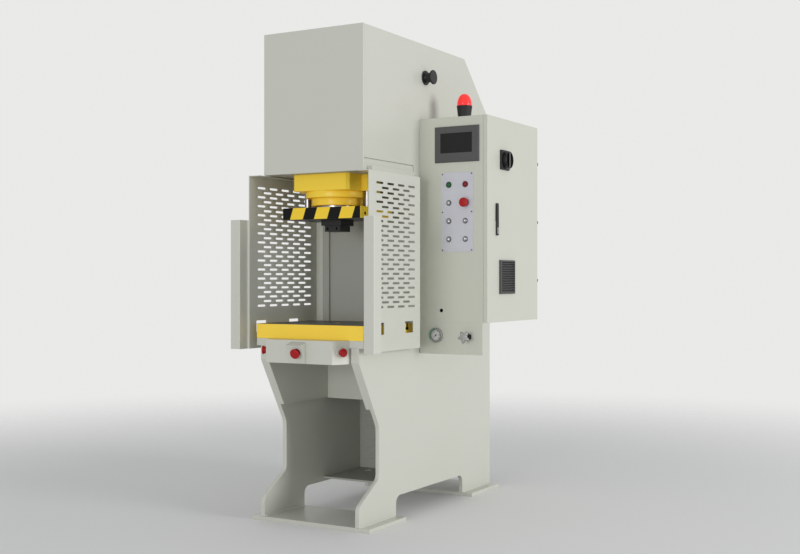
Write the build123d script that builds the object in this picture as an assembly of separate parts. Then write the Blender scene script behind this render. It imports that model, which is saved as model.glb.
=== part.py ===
from build123d import *
import math
import os

# C-frame hydraulic press: welded plate frame, ram with guide rods, guarded work space,
# two-hand control box and an electric cabinet on the right side.
# Millimetres. X is across the press (+X is the cabinet side), Y runs from the front to the back
# and is measured from the front edge of the feet, Z is up from the floor.
# The last lines move every piece back by half the frame's depth, so that the origin
# is on the floor in the middle of the four anchor holes.

# Frame
frame_half_width = 239.0
frame_depth = 1185.5
frame_height = 2010.0
side_plate_t = 18.5
throat_depth = 432.0
head_height = 583.0
head_top_depth = 915.0
head_slope_drop = 264.0
head_fold_r = 12.0
toe_z = 96.0
waist_setback = 155.5
waist_low_z = 190.0
waist_high_z = 396.0
nose_height = 57.4
arch_height = 97.0
arch_corner_r = 32.0

# Feet
foot_t = 16.5
foot_depth = 290.0
foot_reach = 49.0
anchor_hole_r = 7.0
anchor_inset_y = 93.5
anchor_inset_x = 21.5

# Table
table_top_z = 813.0
table_t = 60.3
support_t = 30.3
table_overhang = 21.0
table_depth = 398.0
table_bore_r = 20.0
support_bore_r = 28.0
slot_from_front = 53.0
slot_from_back = 53.0
slot_width = 14.0
slot_lip = 17.0
slot_foot_width = 24.0
slot_foot_height = 11.0

# Plates inside the frame
doubler_height = 251.5
knee_plate_t = 10.0
knee_plate_height = 253.4
throat_sheet_t = 6.0
throat_recess = 13.0
throat_land = 32.0
shelf_z = 110.0
shelf_t = 8.0
shelf_front_y = 440.0
shelf_hole_r = 16.0
shelf_hole_x = 137.0
shelf_hole_gap = 65.0
shelf_lug_x = 8.0
shelf_lug_width = 28.0
shelf_lug_depth = 24.0
shelf_lug_drop = 12.0
louvre_gap = 45.0
louvre_hood = 9.0
louvre_reach = 7.0
louvre_wall = 1.5
louvre_space = 40.0
louvre_rise = 54.0
louvre_pitch = 27.0
rear_louvre_drop = 168.0
rear_louvre_pitch = 34.0
sheet_t = 3.0
cover_t = 4.0
cover_rear_height = 446.0
head_plate_t = 8.0
head_plate_proud = 3.0
head_setback = 25.6
head_bottom_t = 16.0

# Hydraulic power unit in the rear column
tank_side_gap = 15.5
tank_rear_gap = 20.5
tank_low_z = 700.0
tank_depth = 375.0
tank_height = 420.0
tank_hole_r = 80.0
tank_ledge_t = 20.0
tank_ledge_inset = 40.0
tank_ledge_rise = 60.0
motor_r = 95.0
motor_length = 250.0
motor_flange_wall = 12.0
motor_flange_t = 14.0
motor_hood_height = 46.0
motor_hood_step = 6.0
motor_fins = 12
motor_fin_t = 4.0
motor_fin_reach = 8.0
motor_fin_rise = 30.0
motor_fin_drop = 20.0
pump_r = 45.0
pump_length = 160.0
manifold_half_width = 45.0
manifold_half_depth = 40.0
manifold_height = 60.0
solenoid_r = 20.0
solenoid_rise = 32.0
solenoid_reach = 95.0

# Ram line
ram_y = 212.0
stroke = 250.0
block_half_width = 137.5
block_half_depth = 133.0
block_height = 68.0
block_chamfer = 12.0
block_ear_wall = 8.0
block_ear_half_depth = 30.0
flange_r = 132.6
flange_t = 27.0
gland_r = 107.0
gland_t = 31.5
barrel_r = 100.0
barrel_bore_r = 80.0
barrel_length = 521.0
barrel_cap_t = 24.0
rod_r = 55.0
rod_fit = 0.08
piston_gap = 0.4
piston_t = 60.0
piston_end_gap = 6.0
rod_flange_r = 85.0
rod_flange_t = 9.0
top_stop_gap = 0.5
guide_rod_r = 14.0
guide_spacing = 298.0
guide_ear_gap = 0.6
guide_fit = 0.06
guide_seat = 22.0
guide_rod_length = 543.0
bush_wall = 8.0
bush_length = 110.0
bush_flange_wall = 18.0
bush_flange_t = 10.0
slide_half_width = 191.4
slide_half_depth = 125.0
slide_t = 48.0
side_hole_r = 7.0
side_hole_inset_y = 37.0
side_hole_drop = 27.3
side_hole_depth = 30.0
holder_plate_half = 49.0
holder_plate_t = 24.0
holder_block_half = 39.5
holder_block_t = 25.0
shank_bore_r = 16.0
clamp_hole_r = 5.5
clamp_hole_x = 22.0
clamp_hole_depth = 8.0

# Guards
guard_t = 3.0
guard_offset = 53.0
guard_front_y = -13.5
guard_rear_y = 403.0
guard_top_gap = 2.0
guard_low_drop = 14.4
guard_flange = 55.0
guard_tab = 45.0
guard_bend_r = 5.0
guard_slot_length = 55.5
guard_slot_height = 8.8
guard_slot_first = 85.9
guard_slot_pitch_y = 84.9
guard_slot_drop = 46.4
guard_slot_row = 19.0
guard_slot_clear = 50.0
window_front = (50.0, 118.0)
window_back = (285.5, 353.5)
window_drop = 38.0
window_height = 48.0
hanger_t = 8.0
hanger_rise = 48.5
hanger_step_rise = 20.0
hanger_drop = 22.0
hanger_step = 23.6
hanger_gap = 4.0
hanger_overlap = 5.0
hanger_inset = 29.0
post_width = 47.5
post_depth = 50.0
post_wall = 2.0
post_drop = 185.0
post_bend_r = 2.5

# Lifting bollards
bollard_y = 540.0
bollard_drop = 143.0
bollard_disc_r = 31.0
bollard_base_t = 6.0
bollard_neck_r = 21.0
bollard_length = 44.0
bollard_disc_t = 8.0

# Two-hand control box
box_depth = 72.0
box_side_gap = 7.0
box_taper = 35.0
box_height = 92.7
box_wall = 2.0
boss_half = 37.0
boss_margin_top = 4.7
boss_margin_bottom = 2.0
boss_reach_top = 35.0
boss_reach_bottom = 10.0
boss_face_drop = 18.7
boss_face_lift = 3.0
boss_button_share = 0.62
boss_button_x = 11.0
palm_drop = 45.2

# Electric cabinet
cabinet_front_y = 488.0
cabinet_depth = 524.3
cabinet_drop = 329.1
cabinet_height = 867.1
cabinet_width = 322.6
door_t = 18.0
door_gap = 0.8
door_short = 1.0
cabinet_wall = 2.0
cabinet_lip = 22.0
cable_hole_x = 106.8
cable_hole_rise = 49.1
cable_hole_r = 8.0
bezel_width = 209.0
bezel_height = 152.0
bezel_offset_x = 181.8
bezel_rise = 751.2
bezel_t = 7.0
bezel_chamfer = 3.0
screen_width = 149.3
screen_height = 83.7
screen_offset_x = -1.8
screen_rise = 5.5
screen_recess = 1.5
panel_width = 151.0
panel_height = 334.9
panel_offset_x = 182.5
panel_rise = 465.2
panel_t = 2.0
panel_screw_r = 3.0
button_column = 38.8
button_row = 76.8
button_row_lift = 0.7
lamp_r = 11.0
lamp_length = 9.0
lamp_ring_t = 2.5
gear_spacer = 4.0
gear_margin = 40.0
gear_foot_r = 6.0
gear_foot_inset = 20.0
gear_row_widths = (52.0, 72.0, 44.0, 24.0)
gear_row_heights = (110.0, 120.0, 95.0, 50.0)
gear_row_depths = (75.0, 95.0, 70.0, 45.0)
duct_depth = 60.0
duct_height = 36.0

# Buttons
button_travel = 3.0
cap_r = 9.5
cap_t = 5.5
stem_r = 5.0
stem_clearance = 0.4
stem_length = 16.0
collar_wall = 3.0
collar_gap = 0.5
collar_t = 3.0
mushroom_travel = 5.0
mushroom_r = 17.0
mushroom_t = 10.0
mushroom_height = 24.0
mushroom_neck_r = 10.5
mushroom_collar_r = 15.5
mushroom_collar_t = 5.0
palm_collar_r = 22.0
panel_estop_r = 19.5
box_estop_r = 20.0

# Door furniture
hinge_rises = (169.2, 432.2, 696.2)
hinge_offset_x = 9.6
hinge_offset_y = 6.2
hinge_knuckle_r = 5.5
hinge_pin_r = 3.0
hinge_fit = 0.05
hinge_height = 28.0
hinge_leaf_t = 3.2
hinge_leaf_width = 32.0
running_gap = 0.4
switch_from_front = 165.0
switch_rise = 690.2
switch_half = 42.0
switch_t = 8.0
switch_ring_r = 33.0
switch_ring_t = 2.0
switch_knob_r = 36.5
switch_knob_t = 18.0
switch_rim = 3.0
switch_grip_half = 6.5
switch_pocket = 10.0
switch_shaft_r = 5.0
shaft_fit = 0.05
latch_from_front = 87.8
latch_rise = 390.2
latch_arm = 112.6
latch_tail = 24.0
latch_half_width = 11.0
latch_t = 6.0
latch_seat_t = 2.0
latch_seat_drop = 28.0
latch_seat_rise = 36.0
latch_pin_r = 6.0
grille_from_front = 116.0
grille_width = 145.0
grille_rise = 119.0
grille_height = 144.4
grille_t = 10.0
grille_frame = 7.0
grille_slats = 13

# Gauge panel
gauge_panel_width = 301.0
gauge_panel_height = 135.8
gauge_flange = 42.0
gauge_offset_x = 82.3
gauge_drop = 56.3
gauge_r = 32.0
gauge_rim = 4.0
gauge_proud = 12.0
gauge_dial_depth = 7.0
gauge_body_depth = 24.0
needle_length = 20.0
needle_t = 1.0
needle_pin_r = 1.2
needle_start_deg = 225.0
valve_offset_x = 236.0
valve_drop = 59.8
valve_r = 11.5
valve_length = 22.0
star_reach = 52.0
star_t = 13.0
star_hub_r = 17.5
star_lobe_r = 6.2
star_lobe_ring = 20.0
star_lobes = 6
star_stem_r = 6.0

# Beacon
beacon_offset_x = 150.0
beacon_from_front = 132.0
beacon_low_r = 27.0
beacon_r = 33.3
beacon_base_h = 64.0
beacon_dome_h = 52.0

# Places that follow from the sizes above
inner_half_width = frame_half_width - side_plate_t
doubler_half_width = inner_half_width - side_plate_t
head_bottom_z = frame_height - head_height
head_slope_z = frame_height - head_slope_drop
head_plate_back_y = head_setback + head_plate_t
cover_low_z = head_slope_z - cover_rear_height
table_half_width = frame_half_width + table_overhang
table_low_z = table_top_z - table_t
support_low_z = table_low_z - support_t
knee_z = support_low_z - nose_height
knee_back_y = throat_depth + throat_recess + knee_plate_t
foot_half_width = frame_half_width + foot_reach
anchor_half_span = foot_half_width - anchor_inset_x
block_low_z = head_bottom_z - block_height
flange_low_z = block_low_z - flange_t
gland_low_z = flange_low_z - gland_t
slide_top_z = gland_low_z - top_stop_gap - rod_flange_t
slide_low_z = slide_top_z - slide_t
holder_low_z = slide_low_z - holder_plate_t
shank_low_z = holder_low_z - holder_block_t
barrel_top_z = block_low_z + barrel_length
piston_top_z = barrel_top_z - barrel_cap_t - piston_end_gap
guide_rod_x = guide_spacing / 2
guide_low_z = slide_top_z - guide_seat
bush_r = guide_rod_r + bush_wall
guard_outer_x = frame_half_width + guard_offset
guard_inner_x = guard_outer_x - guard_t
guard_high_z = head_bottom_z - guard_top_gap
guard_low_z = support_low_z - guard_low_drop
guard_slot_high_z = guard_high_z - guard_slot_drop
window_low_z = table_top_z - window_drop
guard_slot_room = guard_slot_high_z - window_low_z - window_height - guard_slot_clear
guard_slot_rows = 1 + int(guard_slot_room / guard_slot_row)
guard_left_rear_y = guard_rear_y + guard_slot_pitch_y
post_high_z = guard_high_z - post_drop
hanger_back_y = throat_depth + hanger_overlap - hanger_gap
box_back_half = doubler_half_width - box_side_gap
box_front_half = box_back_half - box_taper
box_front_y = -box_depth
box_high_z = table_low_z
box_low_z = box_high_z - box_height
tank_half_width = inner_half_width - tank_side_gap
tank_back_y = frame_depth - tank_rear_gap
tank_front_y = tank_back_y - tank_depth
louvre_panel_y = tank_front_y - louvre_gap
tank_top_z = tank_low_z + tank_height
motor_y = (tank_front_y + tank_back_y) / 2
cabinet_back_y = cabinet_front_y + cabinet_depth
cabinet_high_z = frame_height - cabinet_drop
cabinet_low_z = cabinet_high_z - cabinet_height
door_face_x = frame_half_width + cabinet_width
door_inner_x = door_face_x - door_t
shell_right_x = door_inner_x - door_gap
hinge_x = door_face_x - hinge_offset_x
hinge_y = cabinet_back_y + hinge_offset_y
panel_x = frame_half_width + panel_offset_x
panel_z = cabinet_low_z + panel_rise
panel_face_y = cabinet_front_y - panel_t
gauge_panel_low_z = cabinet_low_z - gauge_panel_height


# Basic forms

def block(low, high):
    """Box between two opposite corners."""
    size = [b - a for a, b in zip(low, high)]
    middle = [(a + b) / 2 for a, b in zip(low, high)]
    return Pos(*middle) * Box(*size)


def outline(points, radii=0):
    """Closed flat face from corner points, each corner rounded by its radius."""
    if radii == 0:
        return make_face(Polyline(*points, close=True))
    return make_face(FilletPolyline(*points, radius=radii, close=True))


def prism_x(points, x_low, x_high, radii=0):
    """Profile given as (Y, Z), carried along X."""
    return Pos(x_low, 0, 0) * extrude(Plane.YZ * outline(points, radii), x_high - x_low)


def prism_y(points, y_low, y_high, radii=0):
    """Profile given as (X, Z), carried along Y."""
    start = Plane((0, y_high, 0), x_dir=(1, 0, 0), z_dir=(0, -1, 0))
    return extrude(start * outline(points, radii), y_high - y_low)


def prism_z(points, z_low, z_high, radii=0):
    """Profile given as (X, Y), carried along Z."""
    return Pos(0, 0, z_low) * extrude(outline(points, radii), z_high - z_low)


def bar(start, direction, radius, length):
    """Round bar that starts at a point and runs along a direction."""
    return extrude(Plane(start, z_dir=direction) * Circle(radius), length)


def bar_z(x, y, z_low, z_high, radius):
    """Upright round bar."""
    return bar((x, y, z_low), (0, 0, 1), radius, z_high - z_low)


def group(*shapes):
    """Several solids as one piece."""
    return Compound([solid for shape in shapes for solid in shape.solids()])


def mirrored(shape):
    """The same piece on the other side of the press."""
    return mirror(shape, about=Plane.YZ)


def both_sides(shape):
    """A piece and its mirror image."""
    return group(shape, mirrored(shape))


# Frame plates

def side_plate():
    rear_foot_y = frame_depth - foot_depth
    corners = [
        ((0, foot_t), 0), ((0, toe_z), 40), ((waist_setback, waist_low_z), 30),
        ((waist_setback, waist_high_z), 60), ((0, knee_z), 0), ((0, support_low_z), 0),
        ((throat_depth, support_low_z), 0), ((throat_depth, head_bottom_z), 0),
        ((head_plate_back_y, head_bottom_z), 0), ((head_plate_back_y, frame_height), 0),
        ((head_top_depth, frame_height), head_fold_r),
        ((frame_depth, head_slope_z), head_fold_r),
        ((frame_depth, foot_t), 0), ((rear_foot_y, foot_t), 0),
        ((rear_foot_y, arch_height), arch_corner_r), ((foot_depth, arch_height), arch_corner_r),
        ((foot_depth, foot_t), 0),
    ]
    plate = prism_x([point for point, r in corners], inner_half_width, frame_half_width,
                    [r for point, r in corners])
    pocket = block(
        (frame_half_width - hanger_t, head_plate_back_y - 1, head_bottom_z - 1),
        (frame_half_width + 1, hanger_back_y + hanger_gap,
         head_bottom_z + hanger_rise + hanger_gap),
    )
    return plate - pocket


def doubler_plates():
    """Plates that thicken the front of the lower body, cut to the same slope."""
    low_z = support_low_z - doubler_height
    slope_y = waist_setback * (knee_z - low_z) / (knee_z - waist_high_z)
    points = [(slope_y, low_z), (0, knee_z), (0, support_low_z),
              (knee_back_y, support_low_z), (knee_back_y, low_z)]
    return both_sides(prism_x(points, doubler_half_width, inner_half_width))


def foot_plates():
    front = block((-foot_half_width, 0, 0), (foot_half_width, foot_depth, foot_t))
    front = chamfer(front.edges().group_by(Axis.Z)[-1], 1.5)
    holes = [bar_z(side * anchor_half_span, anchor_inset_y, -1, foot_t + 1, anchor_hole_r)
             for side in (-1, 1)]
    front = front - holes
    middle = Plane((0, frame_depth / 2, 0), z_dir=(0, 1, 0))
    return group(front, mirror(front, about=middle))


def knee_plate():
    """Upright plate between the doublers, under the recessed part of the throat plate."""
    return block(
        (-doubler_half_width, knee_back_y - knee_plate_t, support_low_z - knee_plate_height),
        (doubler_half_width, knee_back_y, support_low_z),
    )


def table_support_plate():
    half, narrow = table_half_width, inner_half_width
    points = [(-half, 0), (half, 0), (half, table_depth), (narrow, table_depth),
              (narrow, throat_depth), (-narrow, throat_depth), (-narrow, table_depth),
              (-half, table_depth)]
    plate = prism_z(points, support_low_z, table_low_z)
    return plate - bar_z(0, ram_y, support_low_z - 1, table_low_z + 1, support_bore_r)


def t_slot(y):
    """Inverted T groove right across the table."""
    lip_low_z = table_top_z - slot_lip
    end = table_half_width + 1
    neck = block((-end, y - slot_width / 2, lip_low_z - 1), (end, y + slot_width / 2, table_top_z + 1))
    foot = block((-end, y - slot_foot_width / 2, lip_low_z - slot_foot_height),
                 (end, y + slot_foot_width / 2, lip_low_z))
    return neck + foot


def table_plate():
    plate = block((-table_half_width, 0, table_low_z), (table_half_width, table_depth, table_top_z))
    plate = chamfer(plate.edges().group_by(Axis.Z)[-1], 1.5)
    bore = bar_z(0, ram_y, table_low_z - 1, table_top_z + 1, table_bore_r)
    return plate - [t_slot(slot_from_front), t_slot(table_depth - slot_from_back), bore]


def throat_plate():
    """Folded sheet that closes the back of the work space."""
    half, land, t = inner_half_width, inner_half_width - throat_land, throat_sheet_t
    front, back = throat_depth, throat_depth + throat_recess
    points = [
        (-half, front), (-land, front), (-land, back), (land, back), (land, front), (half, front),
        (half, front + t), (land + t, front + t), (land + t, back + t),
        (-land - t, back + t), (-land - t, front + t), (-half, front + t),
    ]
    return prism_z(points, support_low_z, head_bottom_z)


def head_front_plate():
    half = frame_half_width + head_plate_proud
    return block((-half, head_setback, head_bottom_z), (half, head_plate_back_y, frame_height))


def head_bottom_plate():
    high_z = head_bottom_z + head_bottom_t
    plate = block((-inner_half_width, head_plate_back_y, head_bottom_z),
                  (inner_half_width, throat_depth + 60, high_z))
    holes = [bar_z(0, ram_y, head_bottom_z - 1, high_z + 1, barrel_r)]
    for side in (-1, 1):
        holes.append(bar_z(side * guide_rod_x, ram_y, head_bottom_z - 1, high_z + 1, bush_r))
    return plate - holes


def head_cover():
    """One folded sheet: top, rear slope and upper rear."""
    slope = math.atan2(head_slope_drop, frame_depth - head_top_depth)
    top_bend = cover_t * math.tan(slope / 2)
    rear_bend = cover_t * math.tan((math.pi / 2 - slope) / 2)
    points = [
        (head_plate_back_y, frame_height), (head_top_depth, frame_height),
        (frame_depth, head_slope_z), (frame_depth, cover_low_z),
        (frame_depth - cover_t, cover_low_z), (frame_depth - cover_t, head_slope_z - rear_bend),
        (head_top_depth - top_bend, frame_height - cover_t),
        (head_plate_back_y, frame_height - cover_t),
    ]
    inner_r = head_fold_r - cover_t
    radii = [0, head_fold_r, head_fold_r, 0, 0, inner_r, inner_r, 0]
    return prism_x(points, -inner_half_width, inner_half_width, radii)


def louvred_sheet(y_low, z_low, z_high, first_z, pitch_z, rows, columns):
    """Thin sheet with pressed hoods on its front, each open at its lower edge."""
    y_high = y_low + sheet_t
    hood, reach, wall = louvre_hood, louvre_reach, louvre_wall
    hood_length = 2 * inner_half_width / columns - louvre_space - 4
    sheet = block((-inner_half_width, y_low, z_low), (inner_half_width, y_high, z_high))
    hoods, hollows = [], []
    for row in range(rows):
        z = first_z + row * pitch_z
        for column in range(columns):
            x = (column - (columns - 1) / 2) * (hood_length + louvre_space)
            start, end = x - hood_length / 2, x + hood_length / 2
            hoods.append(prism_x([(y_low + wall, z + hood), (y_low, z + hood),
                                  (y_low - reach, z - hood), (y_low + wall, z - hood)],
                                 start, end))
            hollows.append(prism_x([(y_high + 1, z + hood - 3), (y_low + wall, z + hood - 3),
                                    (y_low + wall - reach, z - hood - 1), (y_low, z - hood - 1),
                                    (y_low, z - hood + 1), (y_high + 1, z - hood + 1)],
                                   start + wall, end - wall))
    return sheet + hoods - hollows


def louvre_panel():
    """Screen between the leg space and the power unit."""
    low_z = shelf_z + shelf_t
    return louvred_sheet(louvre_panel_y, low_z, support_low_z, low_z + louvre_rise,
                         louvre_pitch, 8, 2)


def rear_lower_cover():
    rows = 9
    first_z = cover_low_z - rear_louvre_drop - (rows - 1) * rear_louvre_pitch
    return louvred_sheet(frame_depth - sheet_t, shelf_z + shelf_t, cover_low_z, first_z,
                         rear_louvre_pitch, rows, 2)


def bottom_shelf():
    shelf = block((-inner_half_width, shelf_front_y, shelf_z),
                  (inner_half_width, frame_depth, shelf_z + shelf_t))
    lug = block((shelf_lug_x, shelf_front_y, shelf_z - shelf_lug_drop),
                (shelf_lug_x + shelf_lug_width, shelf_front_y + shelf_lug_depth, shelf_z))
    holes = [bar_z(x, louvre_panel_y - shelf_hole_gap, shelf_z - 1, shelf_z + shelf_t + 1,
                   shelf_hole_r) for x in (-shelf_hole_x, shelf_hole_x)]
    return shelf + lug - holes


# Ram line

def guide_block():
    """Head of the cylinder, with an ear on each side that the guide rod runs through."""
    body = block((-block_half_width, ram_y - block_half_depth, block_low_z),
                 (block_half_width, ram_y + block_half_depth, head_bottom_z))
    body = chamfer(body.edges().filter_by(Axis.Z), block_chamfer)
    ear_x = guide_rod_x + guide_rod_r + block_ear_wall
    ears = block((-ear_x, ram_y - block_ear_half_depth, block_low_z),
                 (ear_x, ram_y + block_ear_half_depth, head_bottom_z))
    ears = chamfer(ears.edges().filter_by(Axis.Z), block_ear_wall)
    bores = [bar_z(x, ram_y, block_low_z - 1, head_bottom_z + 1, guide_rod_r + guide_ear_gap)
             for x in (-guide_rod_x, guide_rod_x)]
    bores.append(bar_z(0, ram_y, block_low_z - 1, head_bottom_z + 1, barrel_r))
    return body + ears - bores


def cylinder_flange():
    disc = bar_z(0, ram_y, flange_low_z, block_low_z, flange_r)
    return disc - bar_z(0, ram_y, flange_low_z - 1, block_low_z + 1, rod_r + 1)


def gland_ring():
    disc = bar_z(0, ram_y, gland_low_z, flange_low_z, gland_r)
    return disc - bar_z(0, ram_y, gland_low_z - 1, flange_low_z + 1, rod_r + rod_fit)


def cylinder_barrel():
    barrel = bar_z(0, ram_y, block_low_z, barrel_top_z, barrel_r)
    bore = bar_z(0, ram_y, block_low_z - 1, barrel_top_z - barrel_cap_t, barrel_bore_r)
    return barrel - bore


def guide_bushes():
    flange_z = head_bottom_z + head_bottom_t
    top_z = head_bottom_z + bush_length
    bush = bar_z(guide_rod_x, ram_y, head_bottom_z, top_z, bush_r)
    flange = bar_z(guide_rod_x, ram_y, flange_z, flange_z + bush_flange_t,
                   guide_rod_r + bush_flange_wall)
    bore = bar_z(guide_rod_x, ram_y, head_bottom_z - 1, top_z + 1, guide_rod_r + guide_fit)
    return both_sides(bush + flange - bore)


def slide_plate():
    plate = block((-slide_half_width, ram_y - slide_half_depth, slide_low_z),
                  (slide_half_width, ram_y + slide_half_depth, slide_top_z))
    plate = chamfer(plate.edges().filter_by(Axis.Z), 2.0)
    hole_y = ram_y - slide_half_depth + side_hole_inset_y
    hole_z = slide_top_z - side_hole_drop
    cuts = []
    for side in (-1, 1):
        cuts.append(bar_z(side * guide_rod_x, ram_y, guide_low_z, slide_top_z + 1, guide_rod_r))
        cuts.append(bar((side * (slide_half_width + 1), hole_y, hole_z), (-side, 0, 0),
                        side_hole_r, side_hole_depth + 1))
    return plate - cuts


def die_holder():
    """Upper plate and lower block, with a bore for a tool shank and two clamp screw holes."""
    wide = block((-holder_plate_half, ram_y - holder_plate_half, holder_low_z),
                 (holder_plate_half, ram_y + holder_plate_half, slide_low_z))
    front_y = ram_y - holder_block_half
    narrow = block((-holder_block_half, front_y, shank_low_z),
                   (holder_block_half, ram_y + holder_block_half, holder_low_z))
    narrow = chamfer(narrow.edges().filter_by(Axis.Z), 3.0)
    cuts = [bar_z(0, ram_y, shank_low_z - 1, slide_low_z - 6, shank_bore_r)]
    for side in (-1, 1):
        cuts.append(bar((side * clamp_hole_x, front_y - 1, (shank_low_z + holder_low_z) / 2),
                        (0, 1, 0), clamp_hole_r, clamp_hole_depth + 1))
    return wide + narrow - cuts


def piston_rod():
    flange = bar_z(0, ram_y, slide_top_z, slide_top_z + rod_flange_t, rod_flange_r)
    shaft = bar_z(0, ram_y, slide_top_z, piston_top_z - 1, rod_r)
    piston = bar_z(0, ram_y, piston_top_z - piston_t, piston_top_z, barrel_bore_r - piston_gap)
    return flange + shaft + piston


def guide_rods():
    shaft = bar_z(guide_rod_x, ram_y, guide_low_z, guide_low_z + guide_rod_length, guide_rod_r)
    shaft = chamfer(shaft.edges().group_by(Axis.Z)[-1], 2.0)
    return both_sides(shaft)


# Hydraulic power unit

def oil_tank():
    """Welded tank with a pump opening on top; its ledges rest against the side plates."""
    wall = sheet_t
    tank = block((-tank_half_width, tank_front_y, tank_low_z),
                 (tank_half_width, tank_back_y, tank_top_z))
    hollow = block((wall - tank_half_width, tank_front_y + wall, tank_low_z + wall),
                   (tank_half_width - wall, tank_back_y - wall, tank_top_z - wall))
    ledge_z = tank_low_z + tank_ledge_rise
    ledge = block((tank_half_width, tank_front_y + tank_ledge_inset, ledge_z),
                  (inner_half_width, tank_back_y - tank_ledge_inset, ledge_z + tank_ledge_t))
    opening = bar_z(0, motor_y, tank_top_z - wall - 1, tank_top_z + 1, tank_hole_r)
    return tank + ledge + mirrored(ledge) - [hollow, opening]


def pump_motor():
    """Upright motor on the tank top, with the pump hanging in the oil."""
    top = tank_top_z + motor_length
    plate = bar_z(0, motor_y, tank_top_z, tank_top_z + motor_flange_t,
                  motor_r + motor_flange_wall)
    body = bar_z(0, motor_y, tank_top_z + motor_flange_t - 1, top, motor_r)
    hood = bar_z(0, motor_y, top - 1, top + motor_hood_height, motor_r - motor_hood_step)
    pump = bar_z(0, motor_y, tank_top_z - pump_length, tank_top_z + 1, pump_r)
    fin = block((motor_r - 2, -motor_fin_t / 2, tank_top_z + motor_fin_rise),
                (motor_r + motor_fin_reach, motor_fin_t / 2, top - motor_fin_drop))
    fins = [Pos(0, motor_y, 0) * Rot(0, 0, turn * 360 / motor_fins) * fin
            for turn in range(motor_fins)]
    return body + plate + hood + pump + fins


def valve_manifold():
    """Valve block with a solenoid on each side, on top of the cylinder."""
    body = block((-manifold_half_width, ram_y - manifold_half_depth, barrel_top_z),
                 (manifold_half_width, ram_y + manifold_half_depth,
                  barrel_top_z + manifold_height))
    return body + bar((-solenoid_reach, ram_y, barrel_top_z + solenoid_rise), (1, 0, 0),
                      solenoid_r, 2 * solenoid_reach)


# Guards

def guard(rear_y, columns):
    """Folded sheet with staggered slots and two windows, for the right side.

    Its front flange, which carries the post, ends at the post's top.
    """
    front = guard_front_y
    points = [
        (guard_outer_x + guard_flange, front), (guard_inner_x, front),
        (guard_inner_x, rear_y - guard_t), (frame_half_width, rear_y - guard_t),
        (frame_half_width, rear_y + guard_tab), (frame_half_width + guard_t, rear_y + guard_tab),
        (frame_half_width + guard_t, rear_y), (guard_outer_x, rear_y),
        (guard_outer_x, front + guard_t), (guard_outer_x + guard_flange, front + guard_t),
    ]
    outer_r, inner_r = guard_bend_r, guard_bend_r - guard_t
    radii = [0, outer_r, inner_r, outer_r, 0, 0, inner_r, outer_r, inner_r, 0]
    sheet = prism_z(points, guard_low_z, guard_high_z, radii)

    low_x, high_x = guard_inner_x - 1, guard_outer_x + 1
    cuts = [block((guard_outer_x, front - 1, post_high_z),
                  (guard_outer_x + guard_flange + 1, front + guard_bend_r + 1, guard_high_z + 1))]
    for row in range(guard_slot_rows):
        stagger = row % 2
        z = guard_slot_high_z - row * guard_slot_row
        for column in range(columns - stagger):
            y = front + guard_slot_first + (column + stagger / 2) * guard_slot_pitch_y
            cuts.append(block((low_x, y - guard_slot_length / 2, z - guard_slot_height / 2),
                              (high_x, y + guard_slot_length / 2, z + guard_slot_height / 2)))
    for low_y, high_y in (window_front, window_back):
        cuts.append(block((low_x, front + low_y, window_low_z),
                          (high_x, front + high_y, window_low_z + window_height)))
    return sheet - cuts


def guard_hangers():
    """Stepped rail that sits in the side plate's pocket and carries the guard."""
    step_z = head_bottom_z + hanger_step_rise
    foot_z = head_bottom_z - hanger_drop
    step_x = frame_half_width + hanger_step
    upright = block(
        (frame_half_width - hanger_t, head_plate_back_y + hanger_gap, step_z - hanger_t),
        (frame_half_width, hanger_back_y, head_bottom_z + hanger_rise),
    )
    start_x = frame_half_width - 1
    points = [
        (start_x, step_z), (step_x, step_z), (step_x, foot_z + hanger_t),
        (guard_inner_x, foot_z + hanger_t), (guard_inner_x, foot_z),
        (step_x - hanger_t, foot_z), (step_x - hanger_t, step_z - hanger_t),
        (start_x, step_z - hanger_t),
    ]
    step = prism_y(points, head_plate_back_y + hanger_inset, guard_rear_y - guard_t - 2)
    return both_sides(upright + step)


def curtain_posts():
    """Square cover in front of the guard's flange, open towards the flange."""
    high_x = guard_outer_x + guard_flange
    low_x, low_y = high_x - post_width, guard_front_y - post_depth
    cover = block((low_x, low_y, guard_low_z), (high_x, guard_front_y, post_high_z))
    cover = fillet(cover.edges().filter_by(Axis.Z).group_by(Axis.Y)[0], post_bend_r)
    hollow = block((low_x + post_wall, low_y + post_wall, guard_low_z + post_wall),
                   (high_x - post_wall, guard_front_y + 1, post_high_z - post_wall))
    return both_sides(cover - hollow)


def lifting_bollards():
    centre = (frame_half_width, bollard_y, frame_height - bollard_drop)
    base = bar(centre, (1, 0, 0), bollard_disc_r, bollard_base_t)
    neck = bar(centre, (1, 0, 0), bollard_neck_r, bollard_length - 1)
    disc_start = (frame_half_width + bollard_length - bollard_disc_t, centre[1], centre[2])
    disc = bar(disc_start, (1, 0, 0), bollard_disc_r, bollard_disc_t)
    disc = chamfer(disc.edges().filter_by(GeomType.CIRCLE), 1.5)
    return both_sides(base + neck + disc)


# Buttons. Each stands on a plane that lies on its panel and faces out.

def ring(plane, outer_r, bore_r, thickness):
    return plane * extrude(Circle(outer_r) - Circle(bore_r), thickness)


def stem_hole(plane, depth):
    """Cutter for a stem's hole through a wall."""
    return plane * Pos(0, 0, -depth) * extrude(Circle(stem_r + stem_clearance), depth + 1)


def mushroom(plane, radius):
    """Mushroom head with its neck and stem."""
    neck_low = mushroom_travel + 1
    head = Pos(0, 0, mushroom_height - mushroom_t) * extrude(Circle(radius), mushroom_t)
    head = fillet(head.edges().sort_by(Axis.Z)[-1], mushroom_t * 0.35)
    neck = Pos(0, 0, neck_low) * extrude(Circle(mushroom_neck_r), mushroom_height - neck_low - 1)
    stem = Pos(0, 0, -stem_length) * extrude(Circle(stem_r), stem_length + neck_low + 1)
    return plane * (head + neck + stem)


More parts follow.
